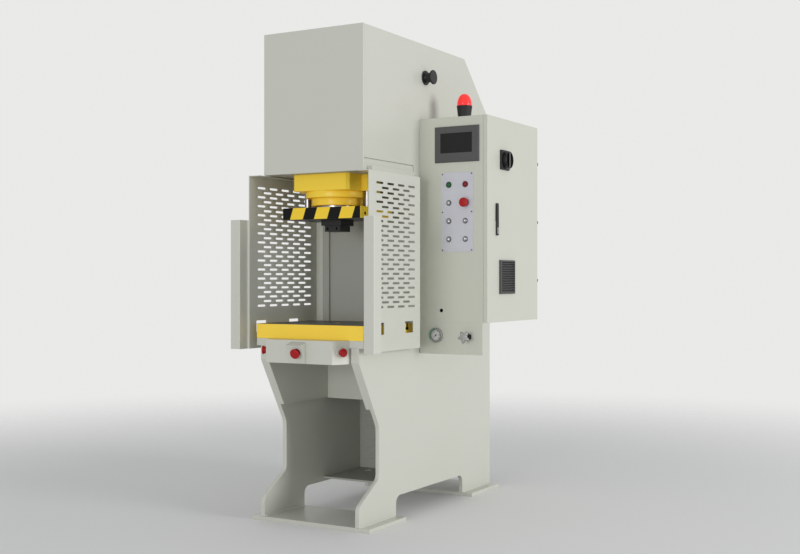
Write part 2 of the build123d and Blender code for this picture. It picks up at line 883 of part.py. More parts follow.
def mushroom_collar(plane, radius):
    return ring(plane, radius, mushroom_neck_r + collar_gap, mushroom_collar_t)


def push_button(plane):
    """Small round cap on a stem."""
    low = button_travel + collar_gap
    cap = Pos(0, 0, low) * extrude(Circle(cap_r), cap_t)
    cap = fillet(cap.edges().sort_by(Axis.Z)[-1], 2.5)
    stem = Pos(0, 0, -stem_length) * extrude(Circle(stem_r), stem_length + low + 1)
    return plane * (cap + stem)


def push_button_collar(plane):
    return ring(plane, cap_r + collar_gap + collar_wall, cap_r + collar_gap, collar_t)


def panel_place(column, row):
    """Plane of a place on the button panel; columns and rows count from the upper left."""
    x = panel_x + (2 * column - 1) * button_column
    z = panel_z + button_row_lift + (1.5 - row) * button_row
    return Plane((x, panel_face_y, z), x_dir=(1, 0, 0), z_dir=(0, -1, 0))


def boss_place():
    """Plane of the emergency stop on the sloped face of the control box."""
    share = boss_button_share
    top_y, bottom_y = box_front_y - boss_reach_top, box_front_y - boss_reach_bottom
    top_z, bottom_z = box_high_z - boss_face_drop, box_low_z + boss_face_lift
    middle = (boss_button_x, bottom_y + share * (top_y - bottom_y),
              bottom_z + share * (top_z - bottom_z))
    return Plane(middle, x_dir=(1, 0, 0), z_dir=(0, bottom_z - top_z, top_y - bottom_y))


def palm_place(side):
    """Plane of a palm button on the slanted end of the control box."""
    spread = box_back_half - box_front_half
    middle = (side * (box_front_half + box_back_half) / 2, box_front_y / 2,
              box_high_z - palm_drop)
    return Plane(middle, z_dir=(side * box_depth, -spread, 0))


lamp_places = [panel_place(0, 0), panel_place(1, 0)]
panel_estop_place = panel_place(1, 1)
button_places = [panel_place(0, 1), panel_place(0, 2), panel_place(1, 2),
                 panel_place(0, 3), panel_place(1, 3)]


def button_collars():
    places = [push_button_collar(place) for place in button_places]
    black = [
        mushroom_collar(panel_estop_place, mushroom_collar_r),
        mushroom_collar(boss_place(), mushroom_collar_r),
        mushroom_collar(palm_place(-1), palm_collar_r),
        mushroom_collar(palm_place(1), palm_collar_r),
    ]
    return group(*places, *black)


def pilot_lamps():
    lamps = []
    for place in lamp_places:
        lens = extrude(Circle(lamp_r), lamp_length)
        lens = fillet(lens.edges().sort_by(Axis.Z)[-1], 3.5)
        base = extrude(Circle(lamp_r + 2), lamp_ring_t)
        lamps.append(place * (lens + base))
    return group(*lamps)


# Two-hand control box

def boss_form(base_y, inset):
    """Wedge on the box's front, with a face that looks down and a sloped top."""
    half = boss_half - inset
    points = [(base_y, box_high_z - boss_margin_top - inset),
              (box_front_y - boss_reach_top + inset, box_high_z - boss_face_drop - inset),
              (box_front_y - boss_reach_bottom + inset, box_low_z + boss_face_lift + inset),
              (base_y, box_low_z + boss_margin_bottom + inset)]
    return prism_x(points, -half, half)


def control_box():
    """Folded box, open at the back against the frame, with the wedge on its front."""
    spread = (box_back_half - box_front_half) / box_depth
    inset = box_wall * math.hypot(1, spread)
    front, back = box_front_half, box_back_half
    outer = prism_z([(-front, box_front_y), (front, box_front_y), (back, 0), (-back, 0)],
                    box_low_z, box_high_z)
    inner_front = front + spread * box_wall - inset
    inner_back = back + spread - inset
    inner = prism_z([(-inner_front, box_front_y + box_wall), (inner_front, box_front_y + box_wall),
                     (inner_back, 1), (-inner_back, 1)],
                    box_low_z + box_wall, box_high_z - box_wall)
    shell = outer + boss_form(box_front_y + 1, 0)
    cuts = [inner, boss_form(box_front_y + box_wall + 1, box_wall), stem_hole(boss_place(), 6),
            stem_hole(palm_place(-1), 6), stem_hole(palm_place(1), 6)]
    return shell - cuts


# Electric cabinet

def cabinet_shell():
    """Five sheets welded edge to edge, the door frame's four strips and the fixed hinge halves."""
    wall, lip = cabinet_wall, cabinet_lip
    left_x, right_x = frame_half_width, shell_right_x
    front_y, back_y = cabinet_front_y, cabinet_back_y
    low_z, high_z = cabinet_low_z, cabinet_high_z
    front = block((left_x, front_y, low_z), (right_x, front_y + wall, high_z))
    cuts = [bar((left_x + cable_hole_x, front_y - 1, low_z + cable_hole_rise),
                (0, 1, 0), cable_hole_r, wall + 2)]
    for place in button_places + [panel_estop_place]:
        cuts.append(stem_hole(place, panel_t + wall + 1))
    sheets = [
        front - cuts,
        block((left_x, back_y - wall, low_z), (right_x, back_y, high_z)),
        block((left_x, front_y + wall, low_z), (left_x + wall, back_y - wall, high_z)),
        block((left_x + wall, front_y + wall, low_z), (right_x, back_y - wall, low_z + wall)),
        block((left_x + wall, front_y + wall, high_z - wall), (right_x, back_y - wall, high_z)),
    ]
    frame_x = right_x - wall
    strips = [
        block((frame_x, front_y + wall, low_z + wall), (right_x, back_y - wall, low_z + lip)),
        block((frame_x, front_y + wall, high_z - lip), (right_x, back_y - wall, high_z - wall)),
        block((frame_x, front_y + wall, low_z + lip), (right_x, front_y + lip, high_z - lip)),
        block((frame_x, back_y - lip, low_z + lip), (right_x, back_y - wall, high_z - lip)),
    ]
    hinges = []
    for rise in hinge_rises:
        middle_z = low_z + rise
        foot_z, joint_z = middle_z - hinge_height / 2, middle_z - running_gap / 2
        leaf = block((hinge_x - hinge_leaf_width, back_y, foot_z),
                     (hinge_x, back_y + hinge_leaf_t, joint_z))
        knuckle = bar_z(hinge_x, hinge_y, foot_z, joint_z, hinge_knuckle_r)
        pin = bar_z(hinge_x, hinge_y, foot_z, middle_z + hinge_height / 2 - 1, hinge_pin_r)
        hinges.append(leaf + knuckle + pin)
    return group(*sheets, *strips, *hinges)


def cabinet_door():
    """Folded pan with the moving hinge halves and the seat of the latch."""
    wall = cabinet_wall
    back_y = cabinet_back_y - door_short
    pan = block((door_inner_x, cabinet_front_y, cabinet_low_z),
                (door_face_x, back_y, cabinet_high_z))
    hollow = block((door_inner_x - 1, cabinet_front_y + wall, cabinet_low_z + wall),
                   (door_face_x - wall, back_y - wall, cabinet_high_z - wall))
    adds, cuts = [], []
    for rise in hinge_rises:
        middle_z = cabinet_low_z + rise
        low_z, high_z = middle_z + running_gap / 2, middle_z + hinge_height / 2
        adds.append(block((hinge_x - hinge_knuckle_r, back_y - wall, low_z),
                          (hinge_x + hinge_knuckle_r, hinge_y, high_z)))
        adds.append(bar_z(hinge_x, hinge_y, low_z, high_z, hinge_knuckle_r))
        cuts.append(bar_z(hinge_x, hinge_y, low_z - 1, high_z + 1, hinge_pin_r + hinge_fit))
    latch_y = cabinet_front_y + latch_from_front
    latch_z = cabinet_low_z + latch_rise
    adds.append(block((door_face_x - wall, latch_y - latch_half_width, latch_z - latch_seat_drop),
                      (door_face_x + latch_seat_t, latch_y + latch_half_width,
                       latch_z + latch_seat_rise)))
    cuts.append(bar((door_face_x - wall - 1, latch_y, latch_z), (1, 0, 0),
                    latch_pin_r + shaft_fit, latch_seat_t + wall + 2))
    return pan - hollow + adds - cuts


def latch_lever():
    """Swing handle on a pin that turns in the latch seat."""
    y, z = cabinet_front_y + latch_from_front, cabinet_low_z + latch_rise
    inner_x = door_face_x + latch_seat_t + running_gap
    half = latch_half_width
    points = [(y - half, z - latch_tail), (y + half, z - latch_tail),
              (y + half * 0.8, z + latch_arm), (y - half * 0.8, z + latch_arm)]
    lever = prism_x(points, inner_x, inner_x + latch_t, [8, 8, 6, 6])
    pin = bar((door_face_x - cabinet_wall, y, z), (1, 0, 0), latch_pin_r,
              inner_x - door_face_x + cabinet_wall + 1)
    return lever + pin


def switch_centre():
    return cabinet_front_y + switch_from_front, cabinet_low_z + switch_rise


def switch_base():
    """Square plate and ring that carry the main switch's knob."""
    y, z = switch_centre()
    plate = block((door_face_x, y - switch_half, z - switch_half),
                  (door_face_x + switch_t, y + switch_half, z + switch_half))
    plate = fillet(plate.edges().filter_by(Axis.X), 4.0)
    collar = bar((door_face_x, y, z), (1, 0, 0), switch_ring_r, switch_t + switch_ring_t)
    bore = bar((door_face_x + 1, y, z), (1, 0, 0), switch_shaft_r + shaft_fit,
               switch_t + switch_ring_t)
    return plate + collar - bore


def rotary_knob():
    """Round knob with a pocket on each side of its grip bar and a shaft in the base."""
    y, z = switch_centre()
    start = door_face_x + switch_t + switch_ring_t + running_gap
    disc = bar((start, y, z), (1, 0, 0), switch_knob_r, switch_knob_t)
    disc = chamfer(disc.edges().group_by(Axis.X)[-1], 1.2)
    pocket_x = start + switch_knob_t - switch_pocket
    pockets = bar((pocket_x, y, z), (1, 0, 0), switch_knob_r - switch_rim, switch_pocket + 1)
    pockets = pockets - block(
        (pocket_x - 1, y - switch_grip_half, z - switch_knob_r),
        (start + switch_knob_t + 2, y + switch_grip_half, z + switch_knob_r))
    shaft = bar((door_face_x + 2, y, z), (1, 0, 0), switch_shaft_r, start - door_face_x - 1)
    return disc + shaft - pockets


def fan_grille():
    """Square vent frame with tilted slats."""
    low_y, low_z = cabinet_front_y + grille_from_front, cabinet_low_z + grille_rise
    high_y, high_z = low_y + grille_width, low_z + grille_height
    rim = grille_frame
    frame = block((door_face_x, low_y, low_z), (door_face_x + grille_t, high_y, high_z))
    frame = chamfer(frame.edges().group_by(Axis.X)[-1], 2.0)
    frame = frame - block((door_face_x + 1.5, low_y + rim, low_z + rim),
                          (door_face_x + grille_t + 1, high_y - rim, high_z - rim))
    pitch = (grille_height - 2 * rim) / grille_slats
    inner_x, outer_x = door_face_x + 1, door_face_x + grille_t - 1
    slats = []
    for index in range(grille_slats):
        z = low_z + rim + (index + 0.5) * pitch
        slats.append(prism_y([(outer_x, z - 4), (outer_x, z - 2), (inner_x, z + 4),
                              (inner_x, z + 2)], low_y + rim - 1, high_y - rim + 1))
    return frame + slats


def control_gear_panel():
    """Mounting plate on spacers, with rows of switching devices and cable ducts."""
    back_x = frame_half_width + cabinet_wall
    plate_x = back_x + gear_spacer
    face_x = plate_x + sheet_t
    low_y, high_y = cabinet_front_y + gear_margin, cabinet_back_y - gear_margin
    low_z, high_z = cabinet_low_z + gear_margin, cabinet_high_z - gear_margin
    height = high_z - low_z
    inset = gear_foot_inset
    fittings = [bar((back_x, y, z), (1, 0, 0), gear_foot_r, gear_spacer + 1)
                for y in (low_y + inset, high_y - inset) for z in (low_z + inset, high_z - inset)]
    rows = zip((0.88, 0.63, 0.38, 0.14), (5, 4, 6, 12), gear_row_widths, gear_row_heights,
               gear_row_depths)
    for share, count, width, tall, deep in rows:
        z = low_z + share * height
        pitch = (high_y - low_y) / count
        for index in range(count):
            y = low_y + (index + 0.5) * pitch
            fittings.append(block((face_x - 1, y - width / 2, z - tall / 2),
                                  (face_x + deep, y + width / 2, z + tall / 2)))
    for share in (0.01, 0.255, 0.50, 0.755):
        z = low_z + share * height
        fittings.append(block((face_x - 1, low_y, z),
                              (face_x + duct_depth, high_y, z + duct_height)))
    plate = block((plate_x, low_y, low_z), (face_x, high_y, high_z))
    return plate + fittings


def bezel_centre():
    return frame_half_width + bezel_offset_x, cabinet_low_z + bezel_rise


def screen_box(y_low, y_high):
    x, z = bezel_centre()
    x, z = x + screen_offset_x, z + screen_rise
    return block((x - screen_width / 2, y_low, z - screen_height / 2),
                 (x + screen_width / 2, y_high, z + screen_height / 2))


def hmi_bezel():
    x, z = bezel_centre()
    body = block((x - bezel_width / 2, cabinet_front_y - bezel_t, z - bezel_height / 2),
                 (x + bezel_width / 2, cabinet_front_y, z + bezel_height / 2))
    body = chamfer(body.edges().group_by(Axis.Y)[0], bezel_chamfer)
    return body - screen_box(cabinet_front_y - bezel_t - 1, cabinet_front_y + 1)


def hmi_screen():
    return screen_box(cabinet_front_y - bezel_t + screen_recess, cabinet_front_y)


def button_panel():
    """Face plate of the buttons, with its six screws."""
    half_x, half_z = panel_width / 2, panel_height / 2
    plate = block((panel_x - half_x, panel_face_y, panel_z - half_z),
                  (panel_x + half_x, cabinet_front_y, panel_z + half_z))
    screws = [bar((panel_x + side * (half_x - 7), cabinet_front_y, panel_z + level * (half_z - 7)),
                  (0, -1, 0), panel_screw_r, panel_t + 1)
              for side in (-1, 1) for level in (-1, 0, 1)]
    holes = [stem_hole(place, panel_t + 1) for place in button_places + [panel_estop_place]]
    return plate + screws - holes


def beacon_base():
    x, y = frame_half_width + beacon_offset_x, cabinet_front_y + beacon_from_front
    cone = Cone(beacon_low_r, beacon_r, beacon_base_h)
    return Pos(x, y, cabinet_high_z + beacon_base_h / 2) * cone


def beacon_dome():
    x, y = frame_half_width + beacon_offset_x, cabinet_front_y + beacon_from_front
    turns = [math.radians(angle) for angle in (0, 22.5, 45, 67.5, 90)]
    rim = [(beacon_r * math.cos(turn), beacon_dome_h * math.sin(turn)) for turn in turns]
    edge = Spline(*rim, tangents=[(0, 1), (-1, 0)])
    profile = make_face([Line((0, 0), rim[0]), edge, Line(rim[-1], (0, 0))])
    dome = revolve(Plane.XZ * profile, Axis.Z)
    return Pos(x, y, cabinet_high_z + beacon_base_h) * dome


# Gauge panel under the cabinet

def gauge_centre():
    return frame_half_width + gauge_offset_x, cabinet_low_z - gauge_drop


def valve_centre():
    return frame_half_width + valve_offset_x, cabinet_low_z - valve_drop


def gauge_panel():
    """Folded sheet: the front face and a flange along the side plate."""
    left_x, t = frame_half_width, sheet_t
    right_x, front_y = left_x + gauge_panel_width, cabinet_front_y
    points = [(left_x, front_y), (right_x, front_y), (right_x, front_y + t),
              (left_x + t, front_y + t), (left_x + t, front_y + gauge_flange),
              (left_x, front_y + gauge_flange)]
    sheet = prism_z(points, gauge_panel_low_z, cabinet_low_z, [4, 0, 0, 1, 0, 0])
    x, z = gauge_centre()
    hole = bar((x, front_y - 1, z), (0, 1, 0), gauge_r - gauge_rim, t + 2)
    return sheet - hole


def gauge_case():
    """Round case with its dial set back inside the rim; the body goes through the panel."""
    x, z = gauge_centre()
    start_y = cabinet_front_y - gauge_proud
    face_r = gauge_r - gauge_rim
    case = bar((x, start_y, z), (0, 1, 0), gauge_r, gauge_proud)
    case = chamfer(case.edges().group_by(Axis.Y)[0], 1.5)
    body = bar((x, start_y + gauge_dial_depth, z), (0, 1, 0), face_r,
               gauge_proud - gauge_dial_depth + gauge_body_depth)
    dial = bar((x, start_y - 1, z), (0, 1, 0), face_r, gauge_dial_depth + 1)
    pin_hole = bar((x, start_y, z), (0, 1, 0), needle_pin_r + shaft_fit, gauge_dial_depth + 6)
    return case + body - [dial, pin_hole]


def gauge_needle():
    """Pointer at rest at the lower left of the dial."""
    x, z = gauge_centre()
    back_y = cabinet_front_y - gauge_proud + gauge_dial_depth - running_gap
    tail = 6.0
    pointer = Pos(needle_length / 2 - tail / 2, 0, 0) * Rectangle(needle_length + tail, 1.6)
    shape = extrude(pointer + Circle(3.0), needle_t)
    plane = Plane((x, back_y - needle_t, z), x_dir=(1, 0, 0), z_dir=(0, 1, 0))
    hand = plane * Rot(0, 0, -needle_start_deg) * shape
    pin = bar((x, back_y - needle_t, z), (0, 1, 0), needle_pin_r, needle_t + running_gap + 4)
    return hand + pin


def valve_body():
    x, z = valve_centre()
    start_y = cabinet_front_y - valve_length
    body = bar((x, start_y, z), (0, 1, 0), valve_r, valve_length)
    nut = Plane((x, cabinet_front_y - 6, z), z_dir=(0, 1, 0)) * extrude(
        RegularPolygon(valve_r + 3, 6), 6)
    bore = bar((x, start_y - 1, z), (0, 1, 0), star_stem_r + shaft_fit, valve_length - 5)
    return body + nut - bore


def star_knob():
    """Lobed hand knob with its stem in the valve body."""
    x, z = valve_centre()
    front_y = cabinet_front_y - star_reach
    lobes = PolarLocations(star_lobe_ring, star_lobes) * Circle(star_lobe_r)
    face = Circle(star_hub_r) + lobes
    plane = Plane((x, front_y, z), z_dir=(0, 1, 0))
    knob = plane * extrude(face, star_t)
    stem_y = front_y + star_t - 1
    stem = bar((x, stem_y, z), (0, 1, 0), star_stem_r, cabinet_front_y - 8 - stem_y)
    return knob + stem


pieces = {
    "side_plate_right": side_plate(),
    "side_plate_left": mirrored(side_plate()),
    "doubler_plates": doubler_plates(),
    "foot_plates": foot_plates(),
    "knee_plate": knee_plate(),
    "table_support_plate": table_support_plate(),
    "table_plate": table_plate(),
    "throat_plate": throat_plate(),
    "head_front_plate": head_front_plate(),
    "head_bottom_plate": head_bottom_plate(),
    "head_cover": head_cover(),
    "rear_lower_cover": rear_lower_cover(),
    "louvre_panel": louvre_panel(),
    "bottom_shelf": bottom_shelf(),
    "guide_block": guide_block(),
    "cylinder_flange": cylinder_flange(),
    "gland_ring": gland_ring(),
    "cylinder_barrel": cylinder_barrel(),
    "guide_bushes": guide_bushes(),
    "oil_tank": oil_tank(),
    "pump_motor": pump_motor(),
    "valve_manifold": valve_manifold(),
    "guard_right": guard(guard_rear_y, 4),
    "guard_left": mirrored(guard(guard_left_rear_y, 5)),
    "guard_hangers": guard_hangers(),
    "curtain_posts": curtain_posts(),
    "lifting_bollards": lifting_bollards(),
    "control_box": control_box(),
    "button_collars": button_collars(),
    "cabinet_shell": cabinet_shell(),
    "control_gear_panel": control_gear_panel(),
    "hmi_bezel": hmi_bezel(),
    "hmi_screen": hmi_screen(),
    "button_panel": button_panel(),
    "pilot_lamps": pilot_lamps(),
    "gauge_panel": gauge_panel(),
    "gauge_case": gauge_case(),
    "valve_body": valve_body(),
    "beacon_base": beacon_base(),
    "beacon_dome": beacon_dome(),
    "slide_plate": slide_plate(),
    "die_holder": die_holder(),
    "piston_rod": piston_rod(),
    "guide_rods": guide_rods(),
    "cabinet_door": cabinet_door(),
    "switch_base": switch_base(),
    "fan_grille": fan_grille(),
    "rotary_knob": rotary_knob(),
    "latch_lever": latch_lever(),
    "panel_estop": mushroom(panel_estop_place, panel_estop_r),
    "box_estop": mushroom(boss_place(), box_estop_r),
    "palm_button_left": mushroom(palm_place(-1), mushroom_r),
    "palm_button_right": mushroom(palm_place(1), mushroom_r),
    "gauge_needle": gauge_needle(),
    "star_knob": star_knob(),
}
for number, place in enumerate(button_places, 1):
    pieces[f"push_button_{number}"] = push_button(place)

os.makedirs("parts", exist_ok=True)
to_origin = Pos(0, -frame_depth / 2, 0)
for name, piece in pieces.items():
    export_step(to_origin * piece, f"parts/{name}.step")
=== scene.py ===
import bpy
import bmesh
import math
import numpy as np
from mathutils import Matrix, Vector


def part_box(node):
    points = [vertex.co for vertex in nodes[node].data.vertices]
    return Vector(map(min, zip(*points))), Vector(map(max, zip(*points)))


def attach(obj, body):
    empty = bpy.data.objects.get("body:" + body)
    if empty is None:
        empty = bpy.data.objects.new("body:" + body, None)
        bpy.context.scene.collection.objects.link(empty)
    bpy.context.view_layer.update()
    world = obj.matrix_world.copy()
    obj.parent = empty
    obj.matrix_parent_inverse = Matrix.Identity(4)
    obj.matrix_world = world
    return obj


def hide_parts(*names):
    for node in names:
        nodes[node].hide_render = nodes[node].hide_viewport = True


# Hydraulic C-frame press: paint, hazard stripes, guards, controls, gauge and beacon.
# Sizes in the dictionaries are in millimetres, with Y counted from the front edge of the feet.

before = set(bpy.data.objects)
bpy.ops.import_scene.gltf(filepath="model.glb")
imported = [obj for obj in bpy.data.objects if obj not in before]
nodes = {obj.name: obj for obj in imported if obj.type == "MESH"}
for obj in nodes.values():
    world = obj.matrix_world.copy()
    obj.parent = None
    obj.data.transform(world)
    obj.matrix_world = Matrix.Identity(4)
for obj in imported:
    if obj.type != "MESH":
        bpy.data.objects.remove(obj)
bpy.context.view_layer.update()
frontEdge = -592.75            # Y of the feet's front edge in the frame
bodyOf = {
    "slide_plate": "ram", "die_holder": "ram", "piston_rod": "ram", "guide_rods": "ram",
    "cabinet_door": "door", "switch_base": "door", "fan_grille": "door",
    "rotary_knob": "main_switch", "latch_lever": "latch", "panel_estop": "panel_stop",
    "box_estop": "box_stop", "palm_button_left": "left_palm", "palm_button_right": "right_palm",
    "gauge_needle": "needle", "star_knob": "valve_knob",
}
bodyOf.update((f"push_button_{number}", f"button_{number}") for number in range(1, 6))
print("stage: frame loaded,", len(nodes), "nodes")


def place(points):             # millimetres behind the feet's front edge, to metres in the frame
    return (np.asarray(points, float) + (0, frontEdge, 0)) / 1000


def measured(points):          # metres in the frame, to the same millimetres
    return np.asarray(points, float) * 1000 - (0, frontEdge, 0)


def nodeBox(node):             # lowest and highest corner of a CAD node, in the same millimetres
    return measured(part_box(node))


def gathered(items, label):    # three numbers from each vertex or face of a mesh
    values = np.zeros(len(items) * 3)
    items.foreach_get(label, values)
    return values.reshape(-1, 3)


def addObject(name, data):
    thing = bpy.data.objects.new(name, data)
    bpy.context.scene.collection.objects.link(thing)
    return thing


def unit(vectors):             # the same directions with the length one
    vectors = np.asarray(vectors, float)
    return vectors / np.linalg.norm(vectors, axis=-1, keepdims=True)


def gridFaces(rows, columns, closed=True):
    # quads between neighbouring points of a grid; closed joins the last column to the first
    row = np.arange(rows - 1)[:, None]
    column = np.arange(columns if closed else columns - 1)[None, :]
    nextColumn = (column + 1) % columns
    corners = [row * columns + column, row * columns + nextColumn,
               (row + 1) * columns + nextColumn, (row + 1) * columns + column]
    return np.stack(np.broadcast_arrays(*corners), -1).reshape(-1, 4)


def closedFaces(rows, columns):
    # the quads of a closed grid, with one flat face over its first row and one over its last
    first = np.arange(columns)
    last = first + (rows - 1) * columns
    return gridFaces(rows, columns).tolist() + [first[::-1].tolist(), last.tolist()]


def turned(profile, segments=48, flutes=0, depth=0.0):
    # a lathe form: (radius, height) carried round the axis; flutes make the radius swing by depth
    profile = np.asarray(profile, float)
    angle = np.linspace(0, 2 * np.pi, segments, endpoint=False)
    radius, height = profile[:, :1], profile[:, 1:]
    wave = 0.5 + 0.5 * np.cos(flutes * angle)
    swing = 1 - np.where(radius > 1, depth / np.maximum(radius, 1), 0) * wave
    points = np.stack([radius * swing * np.cos(angle), radius * swing * np.sin(angle),
                       height + 0 * angle], -1).reshape(-1, 3)
    return points, gridFaces(len(profile), segments).tolist()


def rounded(corners, radii, steps=4):
    # a closed outline: each corner becomes an arc of its radius that touches both sides
    corners = np.asarray(corners, float)
    radii = np.broadcast_to(np.asarray(radii, float), len(corners))[:, None]
    toLast, toNext = [unit(np.roll(corners, side, 0) - corners) for side in (1, -1)]
    half = np.arccos(np.clip((toLast * toNext).sum(1), -1, 1))[:, None] / 2
    centre = corners + unit(toLast + toNext) * radii / np.sin(half)
    start = corners + toLast * radii / np.tan(half) - centre
    end = corners + toNext * radii / np.tan(half) - centre
    share = np.linspace(0, 1, steps + 1)[None, :, None]
    arc = start[:, None] * (1 - share) + end[:, None] * share
    length = np.maximum(np.linalg.norm(arc, axis=2, keepdims=True), 1e-9)
    points = (centre[:, None] + arc / length * radii[:, None]).reshape(-1, 2)
    apart = np.linalg.norm(points - np.roll(points, 1, 0), axis=1) > 1e-4
    return points[apart]


def shrunk(outline, inset):
    # an outline moved inwards by the same distance on every side
    following = np.roll(outline, -1, 0)
    after = unit(following - outline)
    normalAfter = np.stack([-after[:, 1], after[:, 0]], 1)
    normalBefore = np.roll(normalAfter, 1, 0)
    miter = normalBefore + normalAfter
    miter /= np.maximum((1 + (normalBefore * normalAfter).sum(1)), 0.2)[:, None]
    turn = np.sign((outline[:, 0] * following[:, 1] - outline[:, 1] * following[:, 0]).sum())
    return outline + miter * inset * turn


def edgeLevels(low, high, radius, steps=3):
    # (inset, height) pairs of a slab whose rims are rounded by a quarter circle
    turn = np.linspace(0, np.pi / 2, steps + 1)
    inset, rise = radius * (1 - np.sin(turn)), radius * (1 - np.cos(turn))
    lower = np.stack([inset, low + rise], 1)
    upper = np.stack([inset, high - rise], 1)[::-1]
    return np.concatenate([lower, upper])


def stacked(outline, levels):
    # an outline carried through levels of (inset, height), closed by a flat face at each end
    rings = [np.column_stack([shrunk(outline, inset), np.full(len(outline), height)])
             for inset, height in levels]
    return np.concatenate(rings), closedFaces(len(rings), len(outline))


def slab(low, high):
    # a plain box between its lowest and its highest corner
    outline = np.array([(low[0], low[1]), (high[0], low[1]), (high[0], high[1]),
                        (low[0], high[1])], float)
    return stacked(outline, [(0, low[2]), (0, high[2])])


def boxOutline(width, height, radius):
    # half the width and height with both signs give four corners, rounded by one radius
    half = np.array([[-1, -1], [1, -1], [1, 1], [-1, 1]]) * (width / 2, height / 2)
    return rounded(half, radius)


def stood(part, origin, axis, across=(1, 0, 0)):
    # a part made around Z is turned so that Z runs along the axis and X stays near 'across'
    axis = unit(axis)
    side = unit(across - np.dot(across, axis) * axis)
    return np.asarray(part[0]) @ np.array([side, np.cross(axis, side), axis]) + origin, part[1]


def joined(parts):
    # several (points, faces) surfaces as one
    points, faces, start = [], [], 0
    for somePoints, someFaces in parts:
        points.append(np.asarray(somePoints, float))
        faces += [[index + start for index in face] for face in someFaces]
        start += len(somePoints)
    return np.concatenate(points), faces


def mirrored(part):            # the same piece on the other side: every X changes its sign
    return part[0] * (-1, 1, 1), part[1]


def moved(part, offset):
    return part[0] + offset, part[1]


def arcBand(inner, outer, start, end, innerHeight, outerHeight, steps=24):
    # a thin band round the axis between two radii and two angles in degrees
    angle = np.radians(np.linspace(start, end, steps + 1))
    rows = [np.column_stack([radius * np.cos(angle), radius * np.sin(angle),
                             np.full(len(angle), height)])
            for radius, height in ((inner, innerHeight), (outer, outerHeight))]
    return np.concatenate(rows), gridFaces(2, steps + 1, closed=False)[:, ::-1].tolist()


def tickMarks(angles, inner, outer, width, height):
    # thin flat strokes that point outwards, one for each angle in degrees
    angle = np.radians(np.asarray(angles, float))[:, None]
    along = np.concatenate([np.cos(angle), np.sin(angle)], 1)
    across = np.concatenate([-np.sin(angle), np.cos(angle)], 1) * width / 2
    corners = np.stack([along * inner - across, along * outer - across,
                        along * outer + across, along * inner + across], 1)
    points = np.column_stack([corners.reshape(-1, 2), np.full(len(angles) * 4, height)])
    return points, np.arange(len(angles) * 4).reshape(-1, 4).tolist()


def numeral(words, height, spot):
    # plain numerals: the text is made a mesh first, and then its points are moved to the spot
    curve = bpy.data.curves.new("numeral", "FONT")
    curve.body, curve.size, curve.resolution_u = words, height, 3
    curve.align_x, curve.align_y = "CENTER", "CENTER"
    holder = addObject("numeral", curve)
    bpy.context.view_layer.update()
    mesh = bpy.data.meshes.new_from_object(holder)
    bpy.data.objects.remove(holder)
    bpy.data.curves.remove(curve)
    return gathered(mesh.vertices, "co") + spot, [list(face.vertices) for face in mesh.polygons]


meshSize = {                   # metres and degrees
    "double": 2e-6, "no length": 1e-7, "one plane": 0.4, "gentle": 0.01, "sharp": 25,
    "short edge": 0.020, "bevel steps": 2,
}


def giveMaterials(mesh, looks, pick):
    # one material's name, or a list with pick to number each face from its centre and normal
    for look in [looks] if isinstance(looks, str) else looks:
        mesh.materials.append(bpy.data.materials[look])
    if pick is not None:
        faces = mesh.polygons
        numbers = pick(measured(gathered(faces, "center")), gathered(faces, "normal"))
        faces.foreach_set("material_index", numbers.astype(np.int32))


def piece(name, part, looks, replaced=None, body=None, sharp=32, pick=None,
          outward=True):
    # a surface becomes an object that rides on its body
    mesh = bpy.data.meshes.new(name)
    mesh.from_pydata(place(part[0]).tolist(), [], part[1])
    work = bmesh.new()
    work.from_mesh(mesh)
    bmesh.ops.remove_doubles(work, verts=work.verts, dist=meshSize["double"])
    bmesh.ops.dissolve_degenerate(work, edges=work.edges, dist=meshSize["no length"])
    if outward:
        bmesh.ops.recalc_face_normals(work, faces=work.faces)
    work.to_mesh(mesh)
    work.free()
    giveMaterials(mesh, looks, pick)
    mesh.shade_smooth()
    mesh.set_sharp_from_angle(angle=math.radians(sharp))
    thing = addObject(name, mesh)
    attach(thing, body or bodyOf.get(replaced, "frame"))
    if replaced:
        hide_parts(replaced)


def titled(node):              # cabinet_door becomes CabinetDoor
    return "".join(word.capitalize() for word in node.split("_"))


